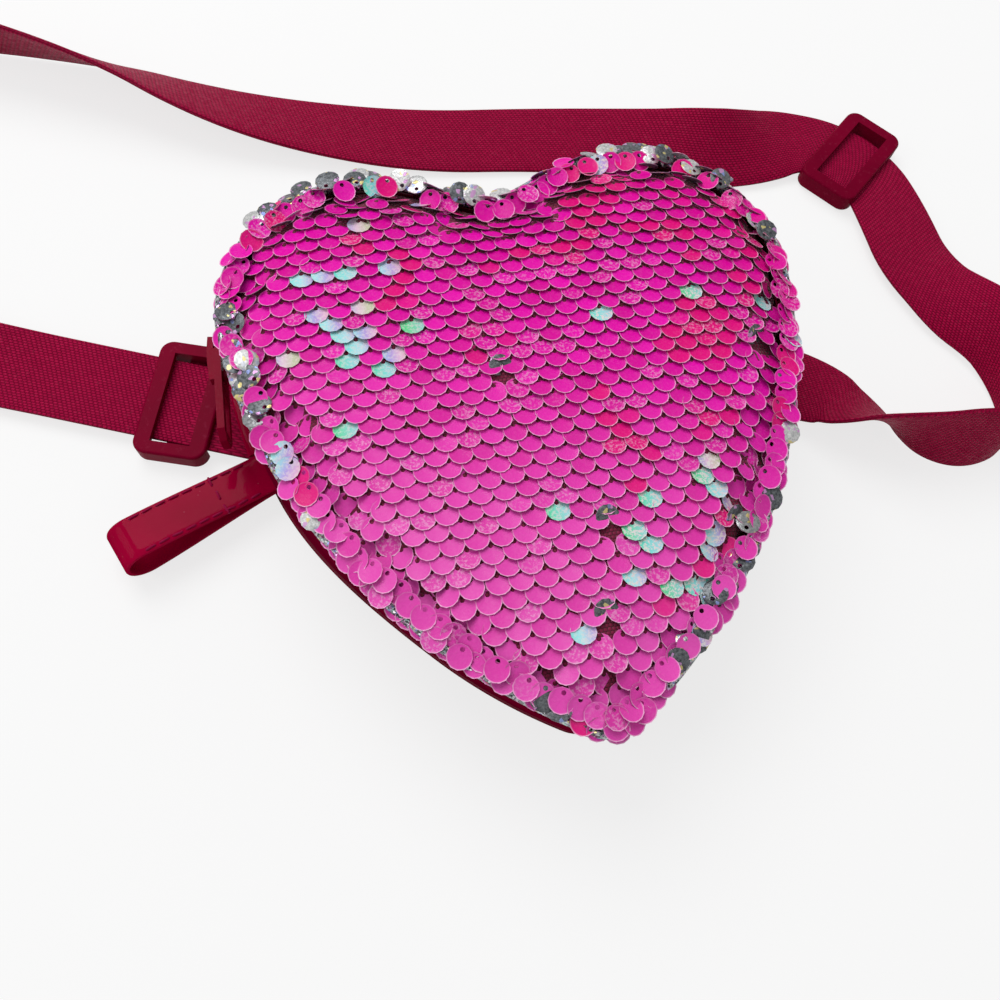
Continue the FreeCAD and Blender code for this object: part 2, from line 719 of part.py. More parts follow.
def grab_loop():
    """Vinyl band folded into a flat teardrop, its two ends sewn together at the root."""
    body = new_body("grab_loop_band")
    center = S["loop_length"] - S["loop_fold"]
    outline = new_sketch(body, "XZ_Plane")
    teardrop(outline, center, S["loop_fold"], ZERO, S["loop_root"])
    pad(body, outline, S["loop_width"], both_sides=True)
    hollow = new_sketch(body, "XZ_Plane")
    teardrop(hollow, center, S["loop_fold"] - S["loop_band"], S["loop_seam"], ZERO)
    pocket(body, hollow, S["loop_width"] * 2, both_sides=True)
    place(body, *LOOP_AT, S["loop_lift"], LOOP_TURN)
    trim = heart_plate("loop_trim", S["ply_gap"], ZERO, WALL_TO)
    return boolean("Cut", "grab_loop", body, trim)


def teardrop(sketch, center, radius, root, half_root):
    """Half circle of the fold, run out in two tangent lines to the root."""
    kind = Sketcher.Constraint
    middle = Vector(center.value, 0, 0)
    span = center.value - root.value
    lean = math.asin((radius.value - half_root.value) / math.hypot(span, half_root.value))
    normal = Vector(-math.sin(lean), math.cos(lean), 0)
    upper_end = middle + normal * radius.value
    lower_end = Vector(upper_end.x, -upper_end.y, 0)
    upper_root = Vector(root.value, half_root.value, 0)
    lower_root = Vector(root.value, -half_root.value, 0)
    sweep = heading(upper_end - middle)
    fold = sketch.addGeometry(arc(middle, radius.value, -sweep, sweep))
    upper = sketch.addGeometry(Part.LineSegment(upper_end, upper_root))
    lower = sketch.addGeometry(Part.LineSegment(lower_root, lower_end))
    sketch.addConstraint(kind("Tangent", fold, 2, upper, 1))
    sketch.addConstraint(kind("Tangent", lower, 2, fold, 1))
    pin_point(sketch, fold, 3, center, ZERO)
    dimension(sketch, kind("Radius", fold, radius.value), radius)
    pin_point(sketch, upper, 2, root, half_root)
    if half_root.value > 0:
        end = sketch.addGeometry(Part.LineSegment(upper_root, lower_root))
        sketch.addConstraint(kind("Coincident", upper, 2, end, 1))
        sketch.addConstraint(kind("Coincident", end, 2, lower, 1))
        pin_point(sketch, lower, 1, root, -half_root)
    else:
        sketch.addConstraint(kind("Coincident", upper, 2, lower, 1))


def between(start, end, share):
    return start + (end - start) * share


def strap_stations(route):
    """Places along straight runs and tangent arcs: point, direction, lean and share of full width."""
    points = [Vector(x, y, z) for x, y, z, lean in route]
    leans = [lean for x, y, z, lean in route]
    shares = [BEND_PUCKER if corner == RIGHT_BEND else 1.0 for corner in route]
    first_way = (points[1] - points[0]).normalize()
    last_way = (points[-1] - points[-2]).normalize()
    stations = [(points[0], first_way, leans[0], shares[0])]
    radii = []
    for i in range(1, len(points) - 1):
        before = points[i] - points[i - 1]
        after = points[i + 1] - points[i]
        run_in, run_out = before.Length, after.Length
        way_in, way_out = before / run_in, after / run_out
        turn = way_in.getAngle(way_out)
        cut = ARC_SHARE * min(run_in, run_out)
        radius = cut / math.tan(turn / 2)
        radii.append(radius)
        inward = (way_out - way_in * math.cos(turn)).normalize()
        start = points[i] - way_in * cut
        lean_in, share_in = (between(row[i - 1], row[i], 1 - cut / run_in) for row in (leans, shares))
        lean_out, share_out = (between(row[i], row[i + 1], cut / run_out) for row in (leans, shares))
        steps = max(2, math.ceil(turn / ARC_STEP))
        for step in range(steps + 1):
            angle = turn * step / steps
            where = start + way_in * radius * math.sin(angle) + inward * radius * (1 - math.cos(angle))
            way = way_in * math.cos(angle) + inward * math.sin(angle)
            part = step / steps
            lean, share = between(lean_in, lean_out, part), between(share_in, share_out, part)
            stations.append((where, way, lean, share))
    stations.append((points[-1], last_way, leans[-1], shares[-1]))
    return stations, radii


def strap_section(where, way, lean, share):
    """Rectangle of webbing square to the route, kept clear of the table."""
    across = Vector(0, 0, 1).cross(way).normalize()
    over = way.cross(across)
    tilt = math.radians(lean)
    width = across * math.cos(tilt) + over * math.sin(tilt)
    depth = way.cross(width)
    half_width = S["strap_width"].value / 2 * share
    half_thick = S["strap_thick"].value / 2
    lowest = half_width * abs(width.z) + half_thick * abs(depth.z) + STRAP_FLOOR
    middle = Vector(where.x, where.y, max(where.z, lowest))
    corners = [
        middle + width * half_width * i + depth * half_thick * j
        for i, j in ((-1, -1), (1, -1), (1, 1), (-1, 1))
    ]
    return Part.makePolygon(corners + corners[:1])


def shoulder_strap():
    stations, radii = strap_stations(STRAP_ROUTE)
    band = DOC.addObject("Part::Feature", "strap_band")
    band.Shape = Part.makeLoft([strap_section(*station) for station in stations], True, True)
    length = sum((a[0] - b[0]).Length for a, b in zip(stations, stations[1:]))
    share = band.Shape.Volume / (length * S["strap_width"].value * S["strap_thick"].value)
    print("strap radii", [round(radius, 1) for radius in radii])
    print(f"strap length {length:.1f} mm, volume over section times length {share:.3f}")
    stand_off = S["pipe_radius"] + S["ply_gap"] * 6
    trim = heart_plate("strap_trim", stand_off, ZERO, WALL_TO)
    return boolean("Cut", "shoulder_strap", band, trim)


def right_glide_place():
    """Middle of the strap's bend, and the centre that the bend turns about."""
    at = STRAP_ROUTE.index(RIGHT_BEND)
    before, corner, after = (Vector(*row[:3]) for row in STRAP_ROUTE[at - 1:at + 2])
    way_in = (corner - before).normalize()
    way_out = (after - corner).normalize()
    turn = way_in.getAngle(way_out)
    cut = ARC_SHARE * min((corner - before).Length, (after - corner).Length)
    radius = cut / math.tan(turn / 2)
    inward = (way_out - way_in).normalize()
    center = corner + inward * radius / math.cos(turn / 2)
    middle = center - inward * (radius - RIGHT_GLIDE_SHIFT)
    return middle, center, math.degrees(heading(way_in + way_out))


def strap_pieces():
    left = glide("left_glide")
    place(left, *LEFT_GLIDE_AT, S["floor_gap"], LEFT_GLIDE_TURN)
    right = glide("right_glide")
    middle, center, turn = right_glide_place()
    place(right, middle.x, middle.y, S["floor_gap"], turn)
    print(f"right glide turns about {center.x:.3f}, {center.y:.3f}")
    return [left, right, shoulder_strap(), grab_loop()] + anchor_tabs()


def check_and_export(nodes):
    DOC.recompute()
    for item in DOC.Objects:
        if "Invalid" in item.State or "Error" in item.State:
            raise RuntimeError(f"{item.Label} failed: {item.State}")
    os.makedirs("parts", exist_ok=True)
    for node in nodes:
        shape = node.Shape
        if shape.isNull() or not shape.isValid() or shape.Volume <= 0:
            raise RuntimeError(f"{node.Label} has no valid shape")
        shape.exportStep(f"parts/{node.Label}.step")
        print(f"{node.Label}: {len(shape.Solids)} solid, {shape.Volume:.1f} mm3")


def main():
    nodes = bag_layers() + gussets()
    nodes += zip_side("front", 1) + zip_side("back", -1)
    nodes += [bottom_stop(), zip_slider(), zip_pull()]
    nodes += strap_pieces()
    check_and_export(nodes)


main()
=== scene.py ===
import math

import bpy
from mathutils import Matrix, Vector, kdtree


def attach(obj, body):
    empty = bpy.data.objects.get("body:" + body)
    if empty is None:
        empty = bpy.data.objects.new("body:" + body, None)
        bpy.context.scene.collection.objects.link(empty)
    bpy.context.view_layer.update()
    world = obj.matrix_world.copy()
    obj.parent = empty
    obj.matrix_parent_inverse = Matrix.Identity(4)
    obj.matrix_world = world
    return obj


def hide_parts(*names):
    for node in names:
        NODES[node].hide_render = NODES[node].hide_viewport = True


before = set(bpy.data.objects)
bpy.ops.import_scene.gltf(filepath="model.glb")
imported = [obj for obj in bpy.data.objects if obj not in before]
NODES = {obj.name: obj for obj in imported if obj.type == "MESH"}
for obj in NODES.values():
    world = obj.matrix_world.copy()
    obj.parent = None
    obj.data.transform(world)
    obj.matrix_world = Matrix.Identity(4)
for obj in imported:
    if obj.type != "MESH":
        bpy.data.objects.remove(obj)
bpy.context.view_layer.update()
SCENE = bpy.context.scene
MM = 0.001
UP = Vector((0.0, 0.0, 1.0))

# Sizes of the purse in millimetres, the same as in its solids.
LOBE = Vector((28.0, 30.0))
LOBE_RADIUS = 30.5
SIDE_RADIUS = 118.0
TIP = Vector((0.0, -54.0))
TIP_RADIUS = 6.5
CLEFT_RADIUS = 4.0
CLEFT_SLOPE = math.radians(25.0)
BACK_SEAM = 1.6
WALL_FROM = 3.2
WALL_TO = 29.2
FRONT_SEAM = 30.8
PIPE_RADIUS = 1.6
ZIP_LEVEL = 16.2
ZIP_FROM = 66.0
ZIP_TO = 193.0
TEETH_FROM = 74.0
TEETH_PITCH = 3.85
TEETH_COUNT = 26
TAPE_INNER = 28.7
TAPE_OUTER = 29.3
STRAP_WIDTH = 20.0
STRAP_THICK = 1.2
STRAP_CLEAR = 1.9
STRAP_LIFT = 0.1
STRAP_LEAST_SHARE = 0.88

# Webbing route: x, y, z, lean of its width in degrees, share of its full width.
STRAP_ROUTE = [
    (-52.2, 21.1, 2.65, 0, 1.0),
    (-92.0, 37.3, 2.65, 0, 1.0),
    (-106.5, 43.2, 2.65, 0, 1.0),
    (-142.0, 56.0, 6.0, -32, 1.0),
    (-178.0, 63.0, 9.6, -72, 1.0),
    (-222.0, 65.0, 10.4, -90, 1.0),
    (-268.0, 71.0, 10.4, -90, 1.0),
    (-300.0, 96.0, 10.4, -90, 1.0),
    (-292.0, 133.0, 10.4, -90, 1.0),
    (-258.0, 152.0, 10.4, -90, 1.0),
    (-212.0, 155.0, 10.4, -90, 1.0),
    (-166.0, 151.0, 10.4, -85, 1.0),
    (-122.0, 141.0, 10.0, -74, 1.0),
    (-84.0, 126.0, 8.4, -50, 1.0),
    (-62.0, 113.3, 5.6, -28, 1.0),
    (-39.0, 104.6, 3.0, -12, 1.0),
    (-9.0, 97.0, 1.4, 0, 1.0),
    (22.0, 94.0, 1.3, 2, 1.0),
    (48.0, 88.4, 2.6, 10, 1.0),
    (66.0, 80.5, 6.4, 36, 1.0),
    (79.0, 81.0, 4.8, 20, 1.0),
    (89.5, 83.6, 2.7, 2, 0.98),
    (100.2, 79.7, 2.65, 0, 0.95),
    (107.9, 70.4, 2.65, 0, 0.95),
    (109.9, 58.4, 2.65, 0, 0.98),
    (110.5, 37.0, 2.65, 0, 1.0),
    (121.0, 11.0, 9.8, 72, 1.0),
    (116.0, -11.0, 10.4, 92, 1.0),
    (101.0, -11.5, 9.6, 112, 1.0),
    (87.0, -6.0, 9.2, 78, 1.0),
    (79.5, 2.0, 4.8, 30, 1.0),
    (72.0, 11.0, 2.65, 0, 1.0),
    (52.0, 20.0, 2.65, 0, 1.0),
]


# Heart outline

def heading(vector):
    return math.atan2(vector.y, vector.x)


def turned(angle):
    return Vector((math.cos(angle), math.sin(angle)))


def right_half():
    """Arcs and the straight shoulder of the heart's right half, from the tip up to the cleft."""
    span = LOBE - TIP
    to_tip = SIDE_RADIUS - TIP_RADIUS
    to_lobe = SIDE_RADIUS - LOBE_RADIUS
    along = (to_tip ** 2 - to_lobe ** 2 + span.length ** 2) / (2 * span.length)
    across = math.sqrt(to_tip ** 2 - along ** 2)
    way = span.normalized()
    side = TIP + way * along + Vector((-way.y, way.x)) * across
    up = Vector((-math.sin(CLEFT_SLOPE), math.cos(CLEFT_SLOPE)))
    cleft = Vector((0.0, LOBE.y + (LOBE_RADIUS + CLEFT_RADIUS + up.x * LOBE.x) / up.y))
    side_low, side_high = heading(TIP - side), heading(LOBE - side)
    parts = [
        (TIP, TIP_RADIUS, -math.pi / 2, side_low),
        (side, SIDE_RADIUS, side_low, side_high),
        (LOBE, LOBE_RADIUS, side_high, heading(up)),
        (LOBE + up * LOBE_RADIUS, cleft - up * CLEFT_RADIUS, up),
        (cleft, CLEFT_RADIUS, heading(-up), -math.pi / 2),
    ]
    lengths = [
        (part[1] - part[0]).length if len(part) == 3 else part[1] * abs(part[3] - part[2]) for part in parts
    ]
    return parts, lengths


HALF_PARTS, HALF_LENGTHS = right_half()
HALF_ROUND = sum(HALF_LENGTHS)
ROUND = 2 * HALF_ROUND


def half_at(run):
    for part, length in zip(HALF_PARTS, HALF_LENGTHS):
        if run <= length:
            break
        run -= length
    run = min(run, length)
    if len(part) == 3:
        return part[0] + (part[1] - part[0]) * run / length, part[2]
    center, radius, start, end = part
    ray = turned(start + (end - start) * run / length)
    return center + ray * radius, ray if end > start else -ray


def heart_at(run):
    """Point of the gusset's outer face and its outward direction, run millimetres round from the tip."""
    run = run % ROUND
    if run <= HALF_ROUND:
        return half_at(run)
    point, out = half_at(ROUND - run)
    return Vector((-point.x, point.y)), Vector((-out.x, out.y))


def run_at_left_lobe(degrees):
    """How far round the heart a direction from the left lobe's axis lies."""
    on_lobe = (math.pi - math.radians(degrees) - HALF_PARTS[2][2]) * LOBE_RADIUS
    return ROUND - (HALF_LENGTHS[0] + HALF_LENGTHS[1] + on_lobe)


def wall_point(run, out, z):
    point, way = heart_at(run)
    point = point + way * out
    return Vector((point.x, point.y, z))


def facing_at(run):
    """Outward direction of the gusset at a place round the heart."""
    return heart_at(run)[1].to_3d()


def steps(start, end, pitch):
    count = max(2, int(round(abs(end - start) / pitch)) + 1)
    return [start + (end - start) * i / (count - 1) for i in range(count)]


def way_at(points, i):
    """Direction of a line of points at one of them."""
    return (points[min(i + 1, len(points) - 1)] - points[max(i - 1, 0)]).normalized()


# Mesh making

def finish_mesh(name, points, faces, material, uvs=None, sharp=40.0):
    """New piece from points in millimetres, with its cloth coordinates in millimetres too."""
    mesh = bpy.data.meshes.new(name)
    mesh.from_pydata([Vector(p) * MM for p in points], [], faces)
    if uvs:
        layer = mesh.uv_layers.new(name="cloth")
        corners = [uv for face in uvs for uv in face]
        for loop, uv in zip(layer.data, corners):
            loop.uv = uv
    mesh.validate()
    mesh.update()
    mesh.polygons.foreach_set("use_smooth", [True] * len(mesh.polygons))
    mesh.set_sharp_from_angle(angle=math.radians(sharp))
    if material:
        mesh.materials.append(material)
    piece = bpy.data.objects.new(name, mesh)
    SCENE.collection.objects.link(piece)
    return piece


def sweep(name, stations, profile, material, closed=False):
    """Carries a closed profile along stations: middle, width direction, up direction, width share.

    A profile point is (across, up, cloth coordinate). Ends are capped unless the path is closed."""
    points, faces, uvs = [], [], []
    count = len(profile)
    run = 0.0
    runs = []
    for i, (middle, across, up, share) in enumerate(stations):
        if i:
            run += (middle - stations[i - 1][0]).length
        runs.append(run)
        points += [middle + across * a * share + up * b for a, b, v in profile]
    if closed:
        runs.append(run + (stations[0][0] - stations[-1][0]).length)
    rings = len(stations)
    flip = sum(
        profile[k][0] * profile[(k + 1) % count][1] - profile[(k + 1) % count][0] * profile[k][1]
        for k in range(count)
    ) < 0
    first = stations[0]
    way = stations[1][0] - first[0]
    if first[1].cross(first[2]).dot(way) < 0:
        flip = not flip
    for i in range(rings if closed else rings - 1):
        j = (i + 1) % rings
        for k in range(count):
            m = (k + 1) % count
            face = [i * count + k, i * count + m, j * count + m, j * count + k]
            low, high = profile[k][2], profile[m][2]
            if k == count - 1:
                high = low + math.dist(profile[k][:2], profile[m][:2])
            uv = [(runs[i], low), (runs[i], high), (runs[i + 1], high), (runs[i + 1], low)]
            faces.append(face[::-1] if flip else face)
            uvs.append(uv[::-1] if flip else uv)
    if not closed:
        for ring, turn_round in ((0, True), (rings - 1, False)):
            face = [ring * count + k for k in range(count)]
            uv = [(runs[ring] + b, v) for a, b, v in profile]
            if turn_round != flip:
                face, uv = face[::-1], uv[::-1]
            faces.append(face)
            uvs.append(uv)
    return finish_mesh(name, points, faces, material, uvs)


def ring_faces(rings, count, first=0):
    """Faces between rings of points, each ring closed on itself."""
    faces = []
    for low in range(first, first + (rings - 1) * count, count):
        for k in range(count):
            m = (k + 1) % count
            faces.append([low + k, low + m, low + count + m, low + count + k])
    return faces


def with_runs(corners):
    """Corners of a profile for sweep, each with how far along the outline it lies."""
    profile, run = [], 0.0
    for i, (a, b) in enumerate(corners):
        run += math.dist(corners[i - 1], (a, b)) if i else 0.0
        profile.append((a, b, run))
    return profile


def band(width, thick, columns):
    """Flat band with rounded edges, as a profile for sweep."""
    half, r = width / 2, thick / 2
    shoulder, drop = half - r * 0.3, r * 0.7
    top = [-half + r + (width - thick) * i / (columns - 1) for i in range(columns)]
    profile = [(a, r, a) for a in top]
    profile += [(shoulder, drop, shoulder), (half, 0.0, half), (shoulder, -drop, shoulder)]
    profile += [(a, -r, a) for a in reversed(top)]
    profile += [(-shoulder, -drop, -shoulder), (-half, 0.0, -half), (-shoulder, drop, -shoulder)]
    return profile


def round_cord(radius, sides=14):
    """Round profile for sweep."""
    angles = [2 * math.pi * k / sides for k in range(sides)]
    return [(radius * math.cos(a), radius * math.sin(a), radius * a) for a in angles]


def wall_stations(start, end, pitch):
    """Stations round the heart at the table's height: across is outward and up is the purse's +Z."""
    return [(wall_point(run, 0.0, 0.0), facing_at(run), UP, 1.0) for run in steps(start, end, pitch)]


def baked(source, name):
    """Plain mesh of what a piece's modifiers give, as a new piece; the source goes."""
    bpy.context.view_layer.update()
    graph = bpy.context.evaluated_depsgraph_get()
    mesh = bpy.data.meshes.new_from_object(
        source.evaluated_get(graph), preserve_all_data_layers=True, depsgraph=graph,
    )
    mesh.name = name
    bpy.data.objects.remove(source)
    piece = bpy.data.objects.new(name, mesh)
    SCENE.collection.objects.link(piece)
    return piece


# Node helpers

def put(tree, kind, **settings):
    node = tree.nodes.new(kind)
    for key, value in settings.items():
        setattr(node, key, value)
    return node


def feed(tree, socket, value):
    """Links a socket to another node's output or sets it to a plain value."""
    if isinstance(value, bpy.types.NodeSocket):
        tree.links.new(value, socket)
    elif value is not None:
        socket.default_value = value


def wired(tree, kind, inputs, **settings):
    """Outputs of a new node whose inputs are fed by name or number; None leaves one as it is."""
    node = put(tree, kind, **settings)
    for key, value in inputs.items():
        if value is not None:
            feed(tree, node.inputs[key], value)
    return node.outputs


def calc(tree, operation, *values):
    return wired(tree, "ShaderNodeMath", dict(enumerate(values)), operation=operation)[0]


def times(tree, a, b):
    return calc(tree, "MULTIPLY", a, b)


def vector_calc(tree, operation, a, b=None, scale=None):
    out = wired(tree, "ShaderNodeVectorMath", {0: a, 1: b, "Scale": scale}, operation=operation)
    return out["Value"] if operation in ("LENGTH", "DISTANCE", "DOT_PRODUCT") else out[0]


def scaled(tree, vector, share):
    return vector_calc(tree, "SCALE", vector, scale=share)


def split(tree, vector):
    """X, Y and Z of a vector."""
    return wired(tree, "ShaderNodeSeparateXYZ", {0: vector})


def join(tree, x=None, y=None, z=None):
    """Vector of X, Y and Z, of which one that isn't given is 0."""
    return wired(tree, "ShaderNodeCombineXYZ", {0: x, 1: y, 2: z})[0]


def span(tree, value, low, high, to_low=0.0, to_high=1.0, smooth=False):
    """Carries a value from one range to another and holds it at the ends."""
    numbers = dict(enumerate((value, low, high, to_low, to_high)))
    kind = "SMOOTHSTEP" if smooth else "LINEAR"
    return wired(tree, "ShaderNodeMapRange", numbers, interpolation_type=kind)[0]


def blend_colors(tree, share, a, b):
    return wired(tree, "ShaderNodeMix", {0: share, 6: a, 7: b}, data_type="RGBA")[2]


def partly(tree, share, most, color, other):
    """Mixes another colour in, by a share of most."""
    return blend_colors(tree, times(tree, share, most), color, other)


def noise_of(tree, vector, scale, detail, roughness):
    inputs = {"Vector": vector, "Scale": scale, "Detail": detail, "Roughness": roughness}
    return wired(tree, "ShaderNodeTexNoise", inputs)[0]


def cells_of(tree, vector, scale):
    return wired(tree, "ShaderNodeTexVoronoi", {"Vector": vector, "Scale": scale}, feature="F1")


def luck_at(tree, vector):
    """Random number that belongs to a place."""
    return wired(tree, "ShaderNodeTexWhiteNoise", {"Vector": vector})["Value"]


def tint(red, green, blue):
    """Linear colour of a display colour given in 0 to 255."""
    def linear(c):
        c = c / 255
        return c / 12.92 if c <= 0.04045 else ((c + 0.055) / 1.055) ** 2.4
    return (linear(red), linear(green), linear(blue), 1.0)


def color_ramp(tree, value, shades, between="LINEAR"):
    """Colour along a row of places, each with its display colour."""
    node = put(tree, "ShaderNodeValToRGB")
    node.color_ramp.interpolation = between
    stops = node.color_ramp.elements
    for i, (place, shade) in enumerate(shades):
        stop = stops[i] if i < 2 else stops.new(place)
        stop.position = place
        stop.color = tint(*shade)
    feed(tree, node.inputs[0], value)
    return node.outputs[0]


def new_tree(name, kind, inputs, outputs):
    """Node tree with named sockets: the tree, what comes into it and what goes out."""
    tree = bpy.data.node_groups.new(name, kind)
    for label, value_kind, value in inputs:
        socket = tree.interface.new_socket(label, in_out="INPUT", socket_type=f"NodeSocket{value_kind}")
        if value is not None:
            socket.default_value = value
    for label, value_kind in outputs:
        tree.interface.new_socket(label, in_out="OUTPUT", socket_type=f"NodeSocket{value_kind}")
    return tree, put(tree, "NodeGroupInput").outputs, put(tree, "NodeGroupOutput").inputs


def shader_group(name, inputs, outputs):
    return new_tree(name, "ShaderNodeTree", inputs, [(label, "Float") for label in outputs])


def use_group(tree, group, **values):
    node = put(tree, "ShaderNodeGroup", node_tree=group)
    for key, value in values.items():
        feed(tree, node.inputs[key.replace("_", " ")], value)
    return node.outputs


# Shared surface effects

def make_weave_group():
    """Over and under yarns; coordinates in millimetres along and across the cloth."""
    tree, give, take = shader_group("yarn_weave", [
        ("Coordinates", "Vector", None), ("Along", "Float", 0.9), ("Across", "Float", 0.6),
        ("Step", "Float", 0.5),
    ], ["Height", "Shade", "Gap"])

    def bulge_of(yarns, power):
        arch = calc(tree, "SINE", times(tree, calc(tree, "FRACT", yarns), math.pi))
        return calc(tree, "POWER", arch, power)

    place = split(tree, give["Coordinates"])
    across = calc(tree, "DIVIDE", place[1], give["Across"])
    row = calc(tree, "FLOOR", across)
    along = calc(tree, "DIVIDE", place[0], give["Along"])
    along = calc(tree, "ADD", along, times(tree, row, give["Step"]))
    bulge = times(tree, bulge_of(along, 0.6), bulge_of(across, 0.5))
    feed(tree, take["Height"], bulge)
    feed(tree, take["Shade"], luck_at(tree, join(tree, calc(tree, "FLOOR", along), row)))
    feed(tree, take["Gap"], span(tree, bulge, 0.15, 0.55, 1.0, 0.0, True))
    return tree


def make_patent_group():
    """Slow waviness and handling marks of a glossy coated sheet; coordinates in metres."""
    tree, give, take = shader_group(
        "patent_surface", [("Coordinates", "Vector", None)], ["Height", "Roughness", "Mottle", "Dust"],
    )
    place = give["Coordinates"]
    slow = noise_of(tree, place, 70.0, 2.0, 0.45)
    fine = noise_of(tree, place, 420.0, 2.0, 0.5)
    grain = noise_of(tree, place, 2600.0, 1.0, 0.5)
    height = calc(tree, "MULTIPLY_ADD", fine, 0.16, slow)
    feed(tree, take["Height"], calc(tree, "MULTIPLY_ADD", grain, 0.01, height))
    smear = span(tree, noise_of(tree, place, 130.0, 3.0, 0.6), 0.42, 0.72, smooth=True)
    feed(tree, take["Roughness"], span(tree, smear, 0.0, 1.0, 0.07, 0.2))
    feed(tree, take["Mottle"], span(tree, slow, 0.3, 0.7))
    specks = cells_of(tree, place, 420.0)["Distance"]
    feed(tree, take["Dust"], span(tree, specks, 0.03, 0.1, 1.0, 0.0, True))
    return tree


FLAKE_SHADES = [
    (0.0, (150, 152, 155)), (0.3, (205, 208, 210)), (0.5, (95, 98, 102)), (0.64, (236, 236, 238)),
    (0.76, (176, 214, 205)), (0.83, (150, 165, 226)), (0.89, (226, 210, 140)), (0.94, (216, 160, 214)),
]


def make_glitter_group():
    """Tiny flakes that each tilt and colour their own way; coordinates in metres."""
    tree, give, take = new_tree(
        "glitter_flakes", "ShaderNodeTree",
        [("Coordinates", "Vector", None), ("Flakes per metre", "Float", 2600.0), ("Spread", "Float", 1.0)],
        [("Color", "Color"), ("Normal", "Vector"), ("Flash", "Float")],
    )
    cells = cells_of(tree, give["Coordinates"], give["Flakes per metre"])
    lean = vector_calc(tree, "SUBTRACT", cells["Color"], (0.5, 0.5, 0.5))
    face = put(tree, "ShaderNodeNewGeometry").outputs["Normal"]
    tilted = vector_calc(tree, "ADD", face, scaled(tree, lean, give["Spread"]))
    feed(tree, take["Normal"], vector_calc(tree, "NORMALIZE", tilted))
    pick = luck_at(tree, cells["Position"])
    feed(tree, take["Color"], color_ramp(tree, pick, FLAKE_SHADES, "CONSTANT"))
    feed(tree, take["Flash"], span(tree, pick, 0.86, 0.88))
    return tree


def make_handling_group():
    """Soft blotches and rubbed specks from use; coordinates in metres."""
    tree, give, take = shader_group(
        "handling_marks", [("Coordinates", "Vector", None)], ["Blotch", "Rub", "Grain"],
    )
    place = give["Coordinates"]
    feed(tree, take["Blotch"], span(tree, noise_of(tree, place, 55.0, 3.0, 0.55), 0.3, 0.7))
    feed(tree, take["Rub"], span(tree, noise_of(tree, place, 900.0, 3.0, 0.7), 0.56, 0.72, smooth=True))
    feed(tree, take["Grain"], noise_of(tree, place, 3200.0, 2.0, 0.6))
    return tree


WEAVE = make_weave_group()
PATENT = make_patent_group()
GLITTER = make_glitter_group()
HANDLING = make_handling_group()


# Materials

def start_material(name, **fixed):
    """Principled material with its constant values set on the shader's own sockets."""
    material = bpy.data.materials.new(name)
    material.use_nodes = True
    tree = material.node_tree
    tree.nodes.clear()
    shader = put(tree, "ShaderNodeBsdfPrincipled")
    out = put(tree, "ShaderNodeOutputMaterial")
    tree.links.new(shader.outputs[0], out.inputs[0])
    for key, value in fixed.items():
        shader.inputs[key.replace("_", " ")].default_value = value
    return material, tree, shader.inputs


def object_place(tree):
    return put(tree, "ShaderNodeTexCoord").outputs["Object"]


def cloth_place(tree):
    return put(tree, "ShaderNodeUVMap", uv_map="cloth").outputs[0]


def own_value(tree, name, kind="Fac"):
    return put(tree, "ShaderNodeAttribute", attribute_type="GEOMETRY", attribute_name=name).outputs[kind]


def bump(tree, height, depth):
    return wired(tree, "ShaderNodeBump", {"Strength": 1.0, "Distance": depth, "Height": height})[0]


def make_patent_vinyl(name, dark, light, wave=0.0006, gloss=0.5):
    """Glossy coated vinyl; its gloss fades where the surface turns away, so the wall doesn't go grey."""
    material, tree, take = start_material(name, Specular_IOR_Level=0.0, Coat_Roughness=0.07)
    edge = wired(tree, "ShaderNodeLayerWeight", {"Blend": 0.5})["Facing"]
    feed(tree, take["Coat Weight"], span(tree, edge, 0.05, 0.72, gloss, 0.0, True))
    surface = use_group(tree, PATENT, Coordinates=object_place(tree))
    marks = use_group(tree, HANDLING, Coordinates=object_place(tree))
    color = blend_colors(tree, surface["Mottle"], tint(*dark), tint(*light))
    feed(tree, take["Base Color"], partly(tree, surface["Dust"], 0.08, color, tint(226, 190, 200)))
    rough = calc(tree, "MULTIPLY_ADD", surface["Dust"], 0.14, surface["Roughness"])
    feed(tree, take["Roughness"], calc(tree, "MULTIPLY_ADD", marks["Rub"], 0.05, rough))
    feed(tree, take["Normal"], bump(tree, surface["Height"], wave))
    return material


def make_webbing(name, dark, light, along, across, step, depth):
    """Woven cloth: a yarn's length and width in millimetres, each row's step and the weave's depth. The light
    colour on the yarn crowns and the dark colour in the troughs are painted highlight and painted shade.
    """
    material, tree, take = start_material(
        name, Specular_IOR_Level=0.05, Sheen_Weight=0.07, Sheen_Roughness=0.4, Sheen_Tint=tint(235, 120, 160),
    )
    dark, light = tint(*dark), tint(*light)
    yarn = use_group(tree, WEAVE, Coordinates=cloth_place(tree), Along=along, Across=across, Step=step)
    marks = use_group(tree, HANDLING, Coordinates=object_place(tree))
    # painted highlight on the yarn crowns, painted shade in the troughs between them
    color = blend_colors(tree, yarn["Height"], dark, light)
    color = partly(tree, yarn["Shade"], 0.25, color, dark)
    color = partly(tree, marks["Blotch"], 0.12, color, tint(120, 12, 52))
    color = partly(tree, marks["Rub"], 0.05, color, tint(214, 120, 150))
    feed(tree, take["Base Color"], color)
    feed(tree, take["Roughness"], span(tree, yarn["Shade"], 0.0, 1.0, 0.42, 0.62))
    feed(tree, take["Normal"], bump(tree, yarn["Height"], depth))
    return material


FILM_SHADES = [
    (0.0, (92, 226, 150)), (0.3, (120, 240, 232)), (0.55, (176, 246, 250)), (0.72, (176, 170, 236)),
    (0.86, (236, 206, 226)), (1.0, (190, 226, 170)),
]


